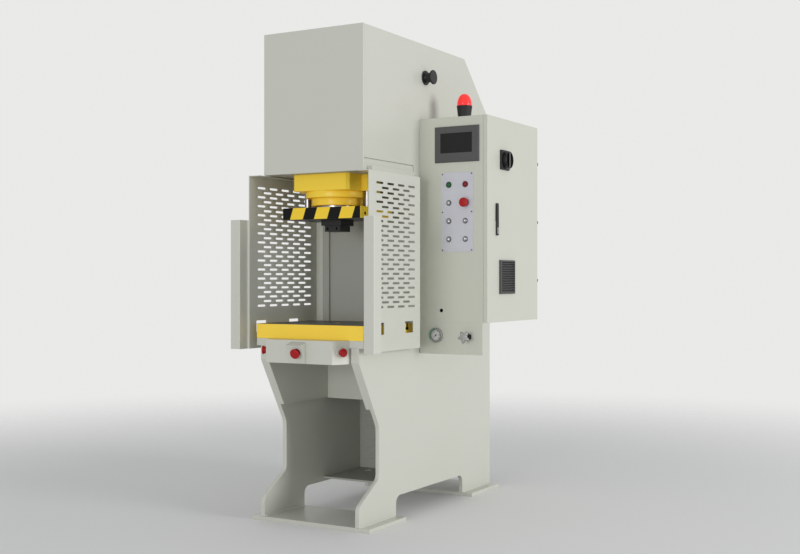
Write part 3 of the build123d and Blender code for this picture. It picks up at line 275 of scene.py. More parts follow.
def softened(node, radius, looks, pick=None, floor=None):
    # a copy of a CAD solid: doubles merged, flat faces joined, then each sharp edge is rounded;
    # large flat faces stay flat in shade, curved walls and rounded edges are smooth
    work = bmesh.new()
    work.from_mesh(nodes[node].data)
    bmesh.ops.remove_doubles(work, verts=work.verts, dist=meshSize["double"])
    bmesh.ops.dissolve_limit(work, angle_limit=math.radians(meshSize["one plane"]),
                             verts=work.verts, edges=work.edges)
    if floor is not None:      # keeps what lies above this height and closes the cut
        every = list(work.verts) + list(work.edges) + list(work.faces)
        cut = bmesh.ops.bisect_plane(work, geom=every, dist=1e-6, plane_co=(0, 0, floor / 1000),
                                     plane_no=(0, 0, 1), clear_inner=True)
        rim = [one for one in cut["geom_cut"] if isinstance(one, bmesh.types.BMEdge)]
        bmesh.ops.edgeloop_fill(work, edges=rim)
        bmesh.ops.recalc_face_normals(work, faces=work.faces)
    limit = math.radians(meshSize["sharp"])
    turns = {edge: edge.calc_face_angle(0.0) for edge in work.edges}
    for face in work.faces:
        gentle = sum(meshSize["gentle"] < turns[edge] < limit for edge in face.edges)
        short = min(edge.calc_length() for edge in face.edges) < meshSize["short edge"]
        face.smooth = gentle >= 2 and len(face.verts) <= 4 and short
    sharp = [edge for edge, turn in turns.items() if turn >= limit]
    made = bmesh.ops.bevel(work, geom=sharp, offset=radius / 1000, offset_type="OFFSET",
                           segments=meshSize["bevel steps"], profile=0.5, affect="EDGES",
                           clamp_overlap=True)
    for face in made["faces"]:
        face.smooth = True
    name = node[0] + titled(node)[1:] + "Soft"
    mesh = bpy.data.meshes.new(name)
    work.to_mesh(mesh)
    work.free()
    giveMaterials(mesh, looks, pick)
    thing = addObject(name, mesh)
    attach(thing, bodyOf.get(node, "frame"))
    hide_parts(node)


def setInputs(node, values):
    # each named input takes a number, a colour, a vector, or a link from another socket
    for label, value in values.items():
        socket = node.inputs[label]
        if hasattr(value, "is_output"):
            node.id_data.links.new(value, socket)
        else:
            socket.default_value = (*value, 1) if socket.type == "RGBA" else value


def addNode(tree, kind, inputs, **settings):
    node = tree.nodes.new(kind)
    for label, value in settings.items():
        setattr(node, label, value)
    setInputs(node, inputs)
    return node


def addNoise(tree, where, scale, detail=3.0, roughness=0.5):
    return addNode(tree, "ShaderNodeTexNoise", {
        "Vector": where, "Scale": scale, "Detail": detail, "Roughness": roughness}).outputs[0]


def addMath(tree, operation, *values, clamp=False):
    return addNode(tree, "ShaderNodeMath", dict(enumerate(values)), operation=operation,
                   use_clamp=clamp).outputs[0]


def addStretch(tree, where, factors):
    return addNode(tree, "ShaderNodeVectorMath", {0: where, 1: factors},
                   operation="MULTIPLY").outputs[0]


def addMix(tree, share, first, second, blend="MIX"):
    # colour mix; each of the three may be a socket or a value
    node = addNode(tree, "ShaderNodeMix", {}, data_type="RGBA", blend_type=blend)
    colours = [number for number, socket in enumerate(node.inputs) if socket.type == "RGBA"]
    setInputs(node, {"Factor": share, colours[0]: first, colours[1]: second})
    return next(socket for socket in node.outputs if socket.type == "RGBA")


def addPlace(tree):            # the surface point in the frame, in metres, and its X, Y and Z
    where = tree.nodes.new("ShaderNodeTexCoord").outputs["Object"]
    return (where, *addNode(tree, "ShaderNodeSeparateXYZ", {0: where}).outputs)


def nodeGroup(name, inputs):
    # an empty group that gives colour, roughness and height; a kind follows from its value
    group = bpy.data.node_groups.new(name, "ShaderNodeTree")
    kinds = {float: "NodeSocketFloat", tuple: "NodeSocketVector"}
    sockets = group.interface
    sockets.new_socket(name="Color", in_out="INPUT", socket_type="NodeSocketColor")
    for label, value in inputs.items():
        socket = sockets.new_socket(name=label, in_out="INPUT", socket_type=kinds[type(value)])
        socket.default_value = value
    sockets.new_socket(name="Color", in_out="OUTPUT", socket_type="NodeSocketColor")
    for label in ("Roughness", "Height"):
        sockets.new_socket(name=label, in_out="OUTPUT", socket_type="NodeSocketFloat")
    source = group.nodes.new("NodeGroupInput").outputs
    return group, source, group.nodes.new("NodeGroupOutput")


coatingSize = {"drift": 1.7, "peel": 260.0, "dust": 6.0, "dust top": 0.35,
               "dust colour": (0.42, 0.40, 0.36), "dust roughness": 0.5, "drift roughness": 0.4}


def makeCoatingGroup():
    # sprayed coating: slow drift of tone, fine orange peel, and dust that gathers low down
    group, source, sink = nodeGroup("coating", {"Drift": 0.05, "Peel": 0.4, "Roughness": 0.3,
                                                "Dust": 0.2})
    where, _, _, upZ = addPlace(group)
    drift = addNoise(group, where, coatingSize["drift"])
    peel = addNoise(group, where, coatingSize["peel"], 2.0)
    dust = addNoise(group, where, coatingSize["dust"], 5.0)
    swing = addMath(group, "MULTIPLY", addMath(group, "SUBTRACT", drift, 0.5), source["Drift"])
    shade = addMix(group, addMath(group, "ADD", swing, 0.5, clamp=True), (0, 0, 0), (1, 1, 1))
    toned = addMix(group, 1.0, source["Color"], shade, "SOFT_LIGHT")
    low = addNode(group, "ShaderNodeMapRange", {
        "Value": upZ, "From Min": 0.0, "From Max": coatingSize["dust top"], "To Min": 1.0,
        "To Max": 0.0}).outputs[0]
    settled = addMath(group, "MULTIPLY", addMath(group, "MULTIPLY", low, source["Dust"]), dust)
    rougher = addMath(group, "ADD",
                      addMath(group, "MULTIPLY", settled, coatingSize["dust roughness"]),
                      addMath(group, "MULTIPLY", swing, coatingSize["drift roughness"]))
    setInputs(sink, {
        "Color": addMix(group, settled, toned, coatingSize["dust colour"]),
        "Roughness": addMath(group, "ADD", source["Roughness"], rougher, clamp=True),
        "Height": addMath(group, "MULTIPLY", peel, source["Peel"])})
    return group


metalSize = {"lines": 60.0, "cloud": 9.0, "cloud share": 0.3, "polish share": 0.5}


def makeMetalGroup():
    # worked metal: fine lines along one axis over a slow change of tone and polish
    group, source, sink = nodeGroup("workedMetal", {"Stretch": (1, 1, 1), "Lines": 0.3,
                                                    "Roughness": 0.3})
    where = group.nodes.new("ShaderNodeTexCoord").outputs["Object"]
    lines = addNoise(group, addStretch(group, where, source["Stretch"]), metalSize["lines"],
                     4.0, 0.7)
    cloud = addNoise(group, where, metalSize["cloud"])
    depth = addMath(group, "MULTIPLY", addMath(group, "SUBTRACT", lines, 0.5), source["Lines"])
    swing = addMath(group, "MULTIPLY", addMath(group, "SUBTRACT", cloud, 0.5),
                    metalSize["cloud share"])
    both = addMath(group, "ADD", depth, swing)
    shade = addMix(group, addMath(group, "ADD", both, 0.5, clamp=True), (0.2, 0.2, 0.2),
                   (0.8, 0.8, 0.8))
    polish = addMath(group, "MULTIPLY", both, metalSize["polish share"])
    setInputs(sink, {
        "Color": addMix(group, 1.0, source["Color"], shade, "SOFT_LIGHT"),
        "Roughness": addMath(group, "ADD", source["Roughness"], polish, clamp=True),
        "Height": depth})
    return group


coatingGroup = makeCoatingGroup()
metalGroup = makeMetalGroup()
gloss = "Specular IOR Level"


def newMaterial(name):
    material = bpy.data.materials.new(name)
    material.use_nodes = True
    return material.node_tree.nodes["Principled BSDF"]


def finishSurface(shader, group, values, relief, constants):
    # places a group in the material and wires its colour, roughness and relief
    tree = shader.id_data
    made = addNode(tree, "ShaderNodeGroup", values, node_tree=group).outputs
    bump = addNode(tree, "ShaderNodeBump", {"Strength": 1.0, "Distance": relief,
                                            "Height": made["Height"]})
    setInputs(shader, {"Base Color": made["Color"], "Roughness": made["Roughness"],
                       "Normal": bump.outputs[0], **constants})


def giveCoating(shader, colour, roughness, peel, drift, dust, relief, constants):
    finishSurface(shader, coatingGroup, {"Color": colour, "Roughness": roughness, "Peel": peel,
                                         "Drift": drift, "Dust": dust}, relief, constants)


# colour, roughness, orange peel, drift of tone, dust, clear coat and gloss
coatings = {
    "machinePaint": ((0.575, 0.580, 0.515), 0.34, 0.35, 0.06, 0.2, 0.12, 0.35),
    "cabinetPaint": ((0.565, 0.572, 0.500), 0.42, 0.60, 0.06, 0.2, 0.06, 0.35),
    # the inner paint is the machine paint darkened to seven tenths: painted shade for the inner
    # and under surfaces
    "innerPaint": ((0.40, 0.405, 0.36), 0.50, 0.40, 0.06, 0.2, 0.0, 0.3),
    "yellowPaint": ((0.95, 0.660, 0.052), 0.36, 0.30, 0.05, 0.0, 0.06, 0.3),
    "blackPlastic": ((0.010, 0.010, 0.011), 0.42, 0.5, 0.3, 0.0, 0.0, 0.3),
    "greyPlastic": ((0.078, 0.077, 0.078), 0.50, 0.5, 0.2, 0.0, 0.0, 0.3),
    "darkPlastic": ((0.024, 0.024, 0.025), 0.50, 0.5, 0.2, 0.0, 0.0, 0.2),
    "paleBoard": ((0.50, 0.51, 0.50), 0.55, 0.3, 0.1, 0.0, 0.0, 0.5),
    "motorPaint": ((0.07, 0.10, 0.13), 0.42, 0.6, 0.1, 0.3, 0.1, 0.5),
    "redPlastic": ((0.38, 0.010, 0.012), 0.42, 0.1, 0.05, 0.0, 0.04, 0.2),
    "darkRedPlastic": ((0.13, 0.006, 0.008), 0.35, 0.1, 0.05, 0.0, 0.03, 0.2),
    "dialWhite": ((0.62, 0.62, 0.60), 0.5, 0.1, 0.05, 0.0, 0.0, 0.5),
    # dark ink for the dial's print, also the painted shadow on the gauge's inner wall
    "dialInk": ((0.012, 0.012, 0.012), 0.6, 0.1, 0.0, 0.0, 0.0, 0.5),
    "dialGreen": ((0.12, 0.25, 0.17), 0.5, 0.1, 0.0, 0.0, 0.0, 0.5),
    "dialRed": ((0.42, 0.17, 0.15), 0.5, 0.1, 0.0, 0.0, 0.0, 0.5),
    "screenGlass": ((0.018, 0.018, 0.018), 0.45, 0.0, 0.05, 0.0, 0.0, 0.12),
}
# colour, roughness, depth of the lines, their stretch and how metallic it is
metals = {
    "groundSteel": ((0.30, 0.30, 0.29), 0.36, 0.35, (1, 40, 40), 1.0),
    "castAlloy": ((0.34, 0.34, 0.33), 0.48, 0.15, (20, 20, 20), 0.7),
    "tableSteel": ((0.040, 0.040, 0.039), 0.45, 0.40, (2, 60, 60), 0.5),
    "blackSteel": ((0.012, 0.012, 0.013), 0.44, 0.10, (20, 20, 20), 0.3),
    "chromed": ((0.36, 0.35, 0.36), 0.30, 0.05, (40, 40, 2), 1.0),
    "buttonChrome": ((0.40, 0.40, 0.42), 0.24, 0.06, (40, 2, 40), 1.0),
    "ringSteel": ((0.17, 0.17, 0.17), 0.35, 0.06, (40, 2, 40), 0.6),
    "panelMetal": ((0.55, 0.55, 0.60), 0.50, 0.10, (2, 40, 60), 0.15),
    "bushBrass": ((0.55, 0.36, 0.12), 0.25, 0.2, (1, 1, 40), 1.0),
}
# colour, glow, its strength, roughness, clear coat and gloss
lenses = {
    "beaconLens": ((0.66, 0.014, 0.014), (1.0, 0.045, 0.045), 0.42, 0.35, 0.15, 0.4),
    "greenLens": ((0.020, 0.085, 0.030), (0.02, 0.3, 0.08), 0.03, 0.45, 0.04, 0.2),
    "redLens": ((0.150, 0.012, 0.018), (0.4, 0.02, 0.03), 0.03, 0.45, 0.04, 0.2),
}
for look, (*values, coat, shine) in coatings.items():
    giveCoating(newMaterial(look), *values, 0.0004,
                {"Coat Weight": coat, "Coat Roughness": 0.12, gloss: shine})
for look, (colour, roughness, lines, stretch, metallic) in metals.items():
    finishSurface(newMaterial(look), metalGroup,
                  {"Color": colour, "Roughness": roughness, "Lines": lines, "Stretch": stretch},
                  0.0002, {"Metallic": metallic})
for look, (colour, glow, strength, roughness, coat, shine) in lenses.items():
    giveCoating(newMaterial(look), colour, roughness, 0.05, 0.1, 0.0, 0.0001,
                {"Emission Color": glow, "Emission Strength": strength, "Coat Weight": coat,
                 "Coat Roughness": 0.08, gloss: shine})
# thin cover glass: mostly clear, so the dial shows through and only the gloss is seen
giveCoating(newMaterial("gaugeGlass"), (0.85, 0.88, 0.88), 0.06, 0.0, 0.05, 0.0, 0.0001,
            {"Alpha": 0.10})


def makeHazardPaint():
    # yellow coating with leaning black bands on the face that looks at the operator
    size = {"period": 0.120, "yellow": 0.533, "lean": 0.34, "start": 0.6259, "middle": 1.267,
            "face": -0.5052, "black": (0.006, 0.006, 0.006)}
    shader = newMaterial("hazardPaint")
    tree = shader.id_data
    _, acrossX, backY, upZ = addPlace(tree)
    rise = addMath(tree, "MULTIPLY", addMath(tree, "SUBTRACT", upZ, size["middle"]), size["lean"])
    along = addMath(tree, "ADD", addMath(tree, "SUBTRACT", acrossX, rise), size["start"])
    turn = addMath(tree, "FRACT", addMath(tree, "DIVIDE", along, size["period"]))
    band = addMath(tree, "GREATER_THAN", turn, size["yellow"])
    front = addMath(tree, "LESS_THAN", backY, size["face"])
    colour = addMix(tree, addMath(tree, "MULTIPLY", band, front), coatings["yellowPaint"][0],
                    size["black"])
    giveCoating(shader, colour, 0.38, 0.2, 0.05, 0.0, 0.0003, {gloss: 0.12})


def makeTablePaint():
    # yellow sides in a paler copy of the yellow paint: painted light, as the table's front is lit
    # more; the milled top and the slots stay bare, with fine marks along the slots
    size = {"top": 0.8120, "yellow": (1.0, 0.69, 0.062), "dark": (0.030, 0.030, 0.030),
            "pale": (0.095, 0.095, 0.092), "stretch": (3, 90, 1), "marks": 30.0}
    shader = newMaterial("tablePaint")
    tree = shader.id_data
    where, _, _, upZ = addPlace(tree)
    bare = addMath(tree, "GREATER_THAN", upZ, size["top"])
    lines = addNoise(tree, addStretch(tree, where, size["stretch"]), size["marks"], 4.0, 0.7)
    colour = addMix(tree, bare, size["yellow"], addMix(tree, lines, size["dark"], size["pale"]))
    rough = addMath(tree, "ADD", addMath(tree, "MULTIPLY", bare, 0.06), 0.32)
    giveCoating(shader, colour, rough, 0.3, 0.05, 0.0, 0.0003,
                {"Metallic": addMath(tree, "MULTIPLY", bare, 0.6), gloss: 0.4})


def makeGripPlastic():
    # black knob plastic with a painted highlight: paler along the grip bar
    size = {"y": 0.0603, "z": 1.504, "half width": 0.0062, "half length": 0.032,
            "black": (0.008, 0.008, 0.008), "worn": (0.075, 0.075, 0.070)}
    shader = newMaterial("gripPlastic")
    tree = shader.id_data
    _, _, backY, upZ = addPlace(tree)
    near = [addMath(tree, "LESS_THAN", addMath(tree, "ABSOLUTE",
                    addMath(tree, "SUBTRACT", reach, size[middle])), size[half])
            for reach, middle, half in ((backY, "y", "half width"), (upZ, "z", "half length"))]
    colour = addMix(tree, addMath(tree, "MULTIPLY", *near), size["black"], size["worn"])
    giveCoating(shader, colour, 0.40, 0.4, 0.2, 0.0, 0.0003, {gloss: 0.3})


makeHazardPaint()
makeTablePaint()
makeGripPlastic()
print("stage: materials made")


dressed = {
    # recessed and underside parts take the darkened paint: painted shade
    "innerPaint": ("rear_lower_cover", "louvre_panel", "bottom_shelf", "head_bottom_plate",
                   "oil_tank"),
    "machinePaint": ("head_cover", "curtain_posts", "knee_plate", "doubler_plates"),
    "groundSteel": ("cylinder_barrel",), "chromed": ("piston_rod", "guide_rods"),
    "bushBrass": ("guide_bushes",), "screenGlass": ("hmi_screen",),
    "blackPlastic": ("valve_body",),
}
for look, names in dressed.items():
    for name in names:
        nodes[name].data.materials.clear()
        nodes[name].data.materials.append(bpy.data.materials[look])
print("stage: plain CAD nodes dressed")


pickSize = {
    "hinge x": 515.0, "hinge y": 1011.4, "panel screw": 485.6, "vent floor": 563.5,
    "ducts": (0.01, 0.255, 0.50, 0.755), "duct": 36.5, "gear plate": 8, "manifold end": 0.62,
    "skin": 3.0, "slots": (53.0, 345.0), "slot reach": 12.6, "slot lip": 0.5, "slot deep": 30,
}


def hingePick(centres, normals):
    # hinge leaves, knuckles and pins are behind the cabinet's back
    return (centres[:, 1] > pickSize["hinge y"]) & (centres[:, 0] > pickSize["hinge x"])


def screwPick(centres, normals):
    return centres[:, 1] < pickSize["panel screw"]


# the floors of the vent slots take black plastic: painted shade in the recesses
def ventPick(centres, normals):
    return (centres[:, 0] < pickSize["vent floor"]) & (normals[:, 0] > 0.9)


def gearPick(centres, normals):
    # the plate stays bare metal, the ducts are pale, the switching devices dark
    low, high = nodeBox("control_gear_panel")
    height = high[2] - low[2]
    level = (centres[:, 2] - low[2])[:, None] / height - pickSize["ducts"]
    duct = ((level > -0.002) & (level < pickSize["duct"] / height)).any(1)
    proud = centres[:, 0] > low[0] + pickSize["gear plate"]
    return np.where(proud, np.where(duct, 1, 2), 0)


def manifoldPick(centres, normals):
    reach = np.abs(centres[:, 0])
    return reach > reach.max() * pickSize["manifold end"]


def slidePick(centres, normals):
    # sides and top are painted; the underside and the bores stay bare
    low, high = nodeBox("slide_plate")
    near = pickSize["skin"]
    sides = (np.abs(centres[:, :2] - low[:2]) < near) | (np.abs(centres[:, :2] - high[:2]) < near)
    painted = (sides.any(1) | (centres[:, 2] > high[2] - near)) & (normals[:, 2] > -0.9)
    return ~painted


def slotPick(centres, normals):
    # the walls and floors of the two T-slots
    depth = nodeBox("table_plate")[1][2] - centres[:, 2]
    reach = [np.abs(centres[:, 1] - y) < pickSize["slot reach"] for y in pickSize["slots"]]
    inside = (depth > pickSize["slot lip"]) & (np.abs(normals[:, 0]) < 0.5)
    return np.any(reach, 0) & inside & (depth < pickSize["slot deep"])


# the radius of the edges, the materials, and which face takes which of them
softEdges = {
    "side_plate_left": (1.2, "machinePaint"), "side_plate_right": (1.2, "machinePaint"),
    "foot_plates": (1.2, "machinePaint"), "head_front_plate": (1.2, "machinePaint"),
    "table_support_plate": (1.2, "machinePaint"), "control_box": (0.8, "machinePaint"),
    "gauge_panel": (0.6, "cabinetPaint"),
    "cabinet_shell": (0.6, ["cabinetPaint", "blackSteel"], hingePick),
    "cabinet_door": (0.8, ["cabinetPaint", "blackSteel"], hingePick),
    "table_plate": (1.2, ["tablePaint", "tableSteel"], slotPick),
    "guide_block": (2.0, "yellowPaint"), "cylinder_flange": (1.2, "yellowPaint"),
    "gland_ring": (1.2, "yellowPaint"),
    "slide_plate": (1.2, ["hazardPaint", "tableSteel"], slidePick),
    "die_holder": (1.2, "blackSteel"), "lifting_bollards": (1.2, "blackSteel"),
    "hmi_bezel": (0.6, "greyPlastic"),
    "button_panel": (0.4, ["panelMetal", "darkPlastic"], screwPick),
    "switch_base": (1.2, "darkPlastic"), "rotary_knob": (0.6, "gripPlastic"),
    # the grille's slot floors are black: painted shade
    "fan_grille": (0.4, ["greyPlastic", "blackPlastic"], ventPick),
    "pump_motor": (0.6, "motorPaint"),
    "valve_manifold": (1.2, ["groundSteel", "blackPlastic"], manifoldPick),
    "control_gear_panel": (0.6, ["groundSteel", "paleBoard", "darkPlastic"], gearPick),
    # the throat plate takes the darkened paint: painted shade
    "throat_plate": (2.5, "innerPaint"),
}
for node, choice in softEdges.items():
    softened(node, *choice)
print("stage: softened copies of the CAD solids")


guardSize = {
    "inner x": 289.0, "frame x": 239.0, "sheet": 3.0, "front y": -13.5, "flange": 55.0,
    "tab": 45.0, "low z": 708.0, "high z": 1425.0, "flange top": 1240.0, "bend": 5.0,
    "first slot y": 72.4, "first slot z": 1378.6, "pitch y": 84.9, "row step": 19.0,
    "rows": 27, "slot": (55.5, 8.8), "rim": 0.5, "square": 0.01, "step back": 0.8,
    "windows": ((36.5, 104.5), (272.0, 340.0)), "window z": (775.0, 823.0),
    "roof back": 400.0, "hanger edge": 0.6, "overlap": 1.0, "lip": (1.2, 0.3),
    "plug": (4.5, 42.0, 8.0, 14.6),      # in front of the hanger, long, deep, above the guard
    "cap": (28.0, 23.6, 2.0, 21.9),      # behind the plug's front, wide, thick, above the guard
}


def slottedCells(centres, size):
    # every slot is a tube from the sheet's front cell border, through the slot, to its back border
    length, height = size["slot"]
    cellY, cellZ = size["pitch y"] / 2, size["row step"] / 2
    border = np.array([(1, 0), (1, 1), (.5, 1), (0, 1), (-.5, 1), (-1, 1),
                       (-1, 0), (-1, -1), (-.5, -1), (0, -1), (.5, -1), (1, -1)]) * (cellY, cellZ)
    turn = np.radians([0, 45, 90, 90, 90, 135, 180, 225, 270, 270, 270, 315])
    lead = np.array([1, 1, 1, 0, -1, -1, -1, -1, -1, 0, 1, 1]) * (length - height) / 2
    rim, thick = size["rim"], size["sheet"]
    rings = []
    for grow, depth in ((rim, 0), (rim * 0.3, rim * 0.3), (0, rim),
                        (0, thick - rim), (rim * 0.3, thick - rim * 0.3), (rim, thick)):
        radius = height / 2 + grow
        loop = np.stack([lead + radius * np.cos(turn), radius * np.sin(turn)], 1)
        rings.append((loop, depth))
    rings = [(border, 0.0)] + rings + [(border, thick)]
    loops = np.stack([np.column_stack([np.full(12, depth), loop]) for loop, depth in rings])
    points = loops[None] + np.column_stack([np.zeros(len(centres)), centres])[:, None, None]
    faces = gridFaces(len(rings), 12)
    faces = faces[None] + (np.arange(len(centres)) * len(rings) * 12)[:, None, None]
    return points.reshape(-1, 3), faces.reshape(-1, 4).tolist()


def plainPatches(yLines, zLines, thick, skip=()):
    # flat quads between crossing lines, on both faces of the sheet, without the skipped windows
    lines = np.stack(np.meshgrid(yLines, zLines), -1).reshape(-1, 2)
    faces = gridFaces(len(zLines), len(yLines), closed=False)
    middle = lines[faces].mean(1)
    keep = np.ones(len(faces), bool)
    for yLow, yHigh, zLow, zHigh in skip:
        keep &= ~((middle > (yLow, zLow)) & (middle < (yHigh, zHigh))).all(1)
    faces = faces[keep]
    front = np.column_stack([np.zeros(len(lines)), lines])
    return [(front, faces.tolist()), (front + (thick, 0, 0), faces[:, ::-1].tolist())]


def wallRound(yLow, yHigh, zLow, zHigh, thick):
    # the sheet's edge round a window or round the whole sheet
    front = np.array([(0, yLow, zLow), (0, yHigh, zLow), (0, yHigh, zHigh), (0, yLow, zHigh)])
    return np.concatenate([front, front + (thick, 0, 0)]), gridFaces(2, 4).tolist()


def hangerCovers(size):
    # a strip folded in at the guard's top closes the gap between the guard and the head, the plug
    # closes the head's notch in front of the hanger's step, and the cap that step's front end
    headX, high = nodeBox("side_plate_right")[1][0], size["high z"]
    frontY, innerX, back = size["front y"] + size["bend"], size["inner x"], size["roof back"]
    ahead, long, deep, tall = size["plug"]
    start = nodeBox("guard_hangers")[0][1] - ahead
    behind, wide, thick, rise = size["cap"]
    lap = size["overlap"]
    return [slab((headX, frontY, high - size["sheet"]), (innerX, back, high)),
            slab((headX - deep, start, high + lap), (headX, start + long, high + tall)),
            slab((headX - lap, start + behind, high - lap),
                 (headX + wide, start + behind + thick, high + rise))]


def guardPart(rearY, columns, size):
    # the slotted panel, with a flange at its front, a tab at its rear and the covers at its top
    thick, pitch, step = size["sheet"], size["pitch y"], size["row step"]
    first, half, highZ = size["first slot y"], size["pitch y"] / 2, size["high z"]
    row = np.arange(size["rows"])
    centres = []
    for index in row:
        stagger = index % 2
        along = np.arange(columns - stagger) + stagger / 2
        centres.append(np.stack([first + along * pitch, np.full(len(along), size["first slot z"]
                                                                - index * step)], 1))
    low, high = first - half, first + (columns - 0.5) * pitch
    top = size["first slot z"] + step / 2
    bottom = top - size["rows"] * step
    frontY, backY = size["front y"] + size["bend"], rearY - size["bend"]
    parts = [slottedCells(np.concatenate(centres), size)]
    for index in row[1::2]:                       # half cells at the ends of the shifted rows
        z = size["first slot z"] - index * step
        for start in (low, high - half):
            parts += plainPatches([start, start + half / 2, start + half],
                                  [z - step / 2, z, z + step / 2], thick)
    zRows = np.arange(bottom, top + 1, step / 2)
    yCells = np.arange(low, high + 1, half / 2)
    windows = [(*ends, *size["window z"]) for ends in size["windows"]]
    parts += plainPatches([frontY, low], zRows, thick)
    parts += plainPatches([high, backY], zRows, thick)
    parts += plainPatches(np.concatenate([[frontY], yCells, [backY]]), [top, highZ], thick)
    parts += plainPatches(np.unique([frontY, backY, *yCells, *np.ravel(size["windows"])]),
                          [size["low z"], *size["window z"], bottom], thick, windows)
    for opening in windows + [(frontY, backY, size["low z"], highZ)]:
        parts.append(wallRound(*opening, thick))
    panel = moved(joined(parts), (size["inner x"], 0, 0))
    innerX, outerX, frameX = size["inner x"], size["inner x"] + thick, size["frame x"]
    square, ahead, edgeX = size["square"], size["front y"], outerX + size["flange"]
    bendOut, bendIn = size["bend"], size["bend"] - thick
    front = rounded([(edgeX, ahead), (innerX, ahead), (innerX, frontY), (outerX, frontY),
                     (outerX, ahead + thick), (edgeX, ahead + thick)],
                    [square, bendOut - square, square, square, bendIn - square, square])
    upper = rounded([(innerX, frontY), (innerX, ahead + size["step back"]),
                     (outerX, ahead + size["step back"]), (outerX, frontY)],
                    [square, *size["lip"], square])
    rear = rounded([(innerX, backY), (innerX, rearY - thick),
                    (frameX, rearY - thick), (frameX, rearY + size["tab"]),
                    (frameX + thick, rearY + size["tab"]), (frameX + thick, rearY),
                    (outerX, rearY), (outerX, backY)],
                   [square, bendIn - square, bendOut, square, square, bendIn, bendOut - square,
                    square])
    return joined([panel, *hangerCovers(size),
                   stacked(front, [(0, size["low z"]), (0, size["flange top"])]),
                   stacked(upper, [(0, size["flange top"]), (0, highZ)]),
                   stacked(rear, [(0, size["low z"]), (0, highZ)])])


piece("guardRight", guardPart(403.0, 4, guardSize), "machinePaint", "guard_right")
piece("guardLeft", mirrored(guardPart(487.9, 5, guardSize)), "machinePaint", "guard_left")
softened("guard_hangers", guardSize["hanger edge"], "machinePaint",
         floor=guardSize["high z"] - guardSize["overlap"])
print("stage: guards")


seamSize = {"leg": 5.0, "pitch": 4.5, "swell": 0.07, "step": 1.5, "clear": 6.0}


def weldBead(start, end, out):
    # a quarter round along a straight seam: its radius swells with each pass, fading at the ends
    start, end, leg = np.asarray(start, float), np.asarray(end, float), seamSize["leg"]
    length = np.linalg.norm(end - start)
    along = np.linspace(0, 1, int(length / seamSize["step"]) + 2)
    wave = np.sin(2 * np.pi * along * length / seamSize["pitch"])
    radius = leg * (1 + seamSize["swell"] * wave)
    radius = radius * np.minimum(1, 0.3 + np.minimum(along, 1 - along) * length / leg / 2)
    turn = np.linspace(0, np.pi / 2, 6)
    across = np.concatenate([[[0, 0]], np.stack([np.cos(turn), np.sin(turn)], 1)])
    spread = across @ np.array([(out, 0, 0), (0, 0, 1)])
    points = start + along[:, None, None] * (end - start) + radius[:, None, None] * spread[None]
    return points.reshape(-1, 3), closedFaces(len(along), len(across))


def makeWelds():
    # beads where the side plates stand on the feet, outside and inside
    corners = measured(gathered(nodes["side_plate_right"].data.vertices, "co"))
    low, clear = corners[:, 2].min(), seamSize["clear"]
    ends = np.unique(np.round(corners[corners[:, 2] < low + 0.5][:, 1], 1))
    gap = int(np.argmax(np.diff(ends)))
    right = joined([weldBead((x, startY + clear, low), (x, endY - clear, low), out)
                    for startY, endY in ((ends[0], ends[gap]), (ends[gap + 1], ends[-1]))
                    for x, out in ((corners[:, 0].max(), 1), (corners[:, 0].min(), -1))])
    piece("footWelds", joined([right, mirrored(right)]), "machinePaint", sharp=60)


makeWelds()
print("stage: weld beads")


buttonSize = {
    "panel face": 486.0, "cap": 9.5, "proud": 11.2, "rim": 4.4, "foot": 3.5, "collar": 12.4,
    "collar proud": 3.0, "collar zone": 16, "stem": 5.0, "stem length": 15.0,
}
stopSize = {"head": 10.0, "proud": 24.0, "neck": 10.5, "crown": 1.6, "rim": 2.4, "collar": 15.5,
            "palm collar": 22.0, "collar proud": 5.0, "palm collar proud": 2.0, "skirt": 0.84,
            "neck foot": 5.6, "skirt foot": 3.4, "palm skirt foot": 7.5, "stem": 5,
            "stem length": 14, "collar reach": 20}
stopPlaces = {
    "panel_estop": {"at": (460.3, 486.0, 1318.1), "axis": (0, -1, 0), "radius": 19.5},
    "box_estop": {"at": (11.0, -97.5, 707.0), "axis": (0, -0.9433, -0.3321), "radius": 20.0},
    "palm_button_left": {"at": (-177.5, -36.0, 707.5), "axis": (-72, -35, 0), "radius": 17.0},
    "palm_button_right": {"at": (177.5, -36.0, 707.5), "axis": (72, -35, 0), "radius": 17.0},
}
lampSize = {"lens": 11.0, "proud": 9.0, "dome": 4.5, "ring": 13.0, "ring proud": 2.5}
outwards = (0, -1, 0)          # towards the operator


def domeOf(radius, foot, rise, steps):
    # (radius, height) pairs of a quarter ellipse from its foot to its pole
    turn = np.linspace(0, np.pi / 2, steps)
    return np.stack([radius * np.cos(turn), foot + rise * np.sin(turn)], 1)


def mushroomProfile(radius, palm):
    # stem, neck and a head with a rounded rim and a low crown
    top, under = stopSize["proud"], stopSize["proud"] - stopSize["head"]
    crown, neck, edge = stopSize["crown"], stopSize["neck"], stopSize["rim"]
    stem, deep = stopSize["stem"], -stopSize["stem length"]
    turn = np.linspace(0, np.pi / 2, 6)
    rim = np.stack([radius - edge * (1 - np.cos(turn)),
                    top - crown - edge * (1 - np.sin(turn))], 1)
    share = np.linspace(1, 0, 7)[1:]
    dome = np.stack([(radius - edge) * share, top - crown * share ** 2], 1)
    skirt, foot = stopSize["skirt"] * radius, stopSize["neck foot"]
    shoulder = stopSize["palm skirt foot"] if palm else under - stopSize["skirt foot"]
    return np.concatenate([[(0, deep), (stem, deep), (stem, foot), (neck, foot),
                            (neck, shoulder - 0.2), (skirt - 0.6, shoulder),
                            (skirt, shoulder + 0.6), (skirt, under), (radius - 1.5, under),
                            (radius - 0.4, under + 0.5), (radius, under + 1.6)], rim, dome])


def headPick(spot):
    # the neck is a darker red than the head
    under = stopSize["proud"] - stopSize["head"] + 0.2
    return lambda centres, normals: (centres - spot["at"]) @ unit(spot["axis"]) < under


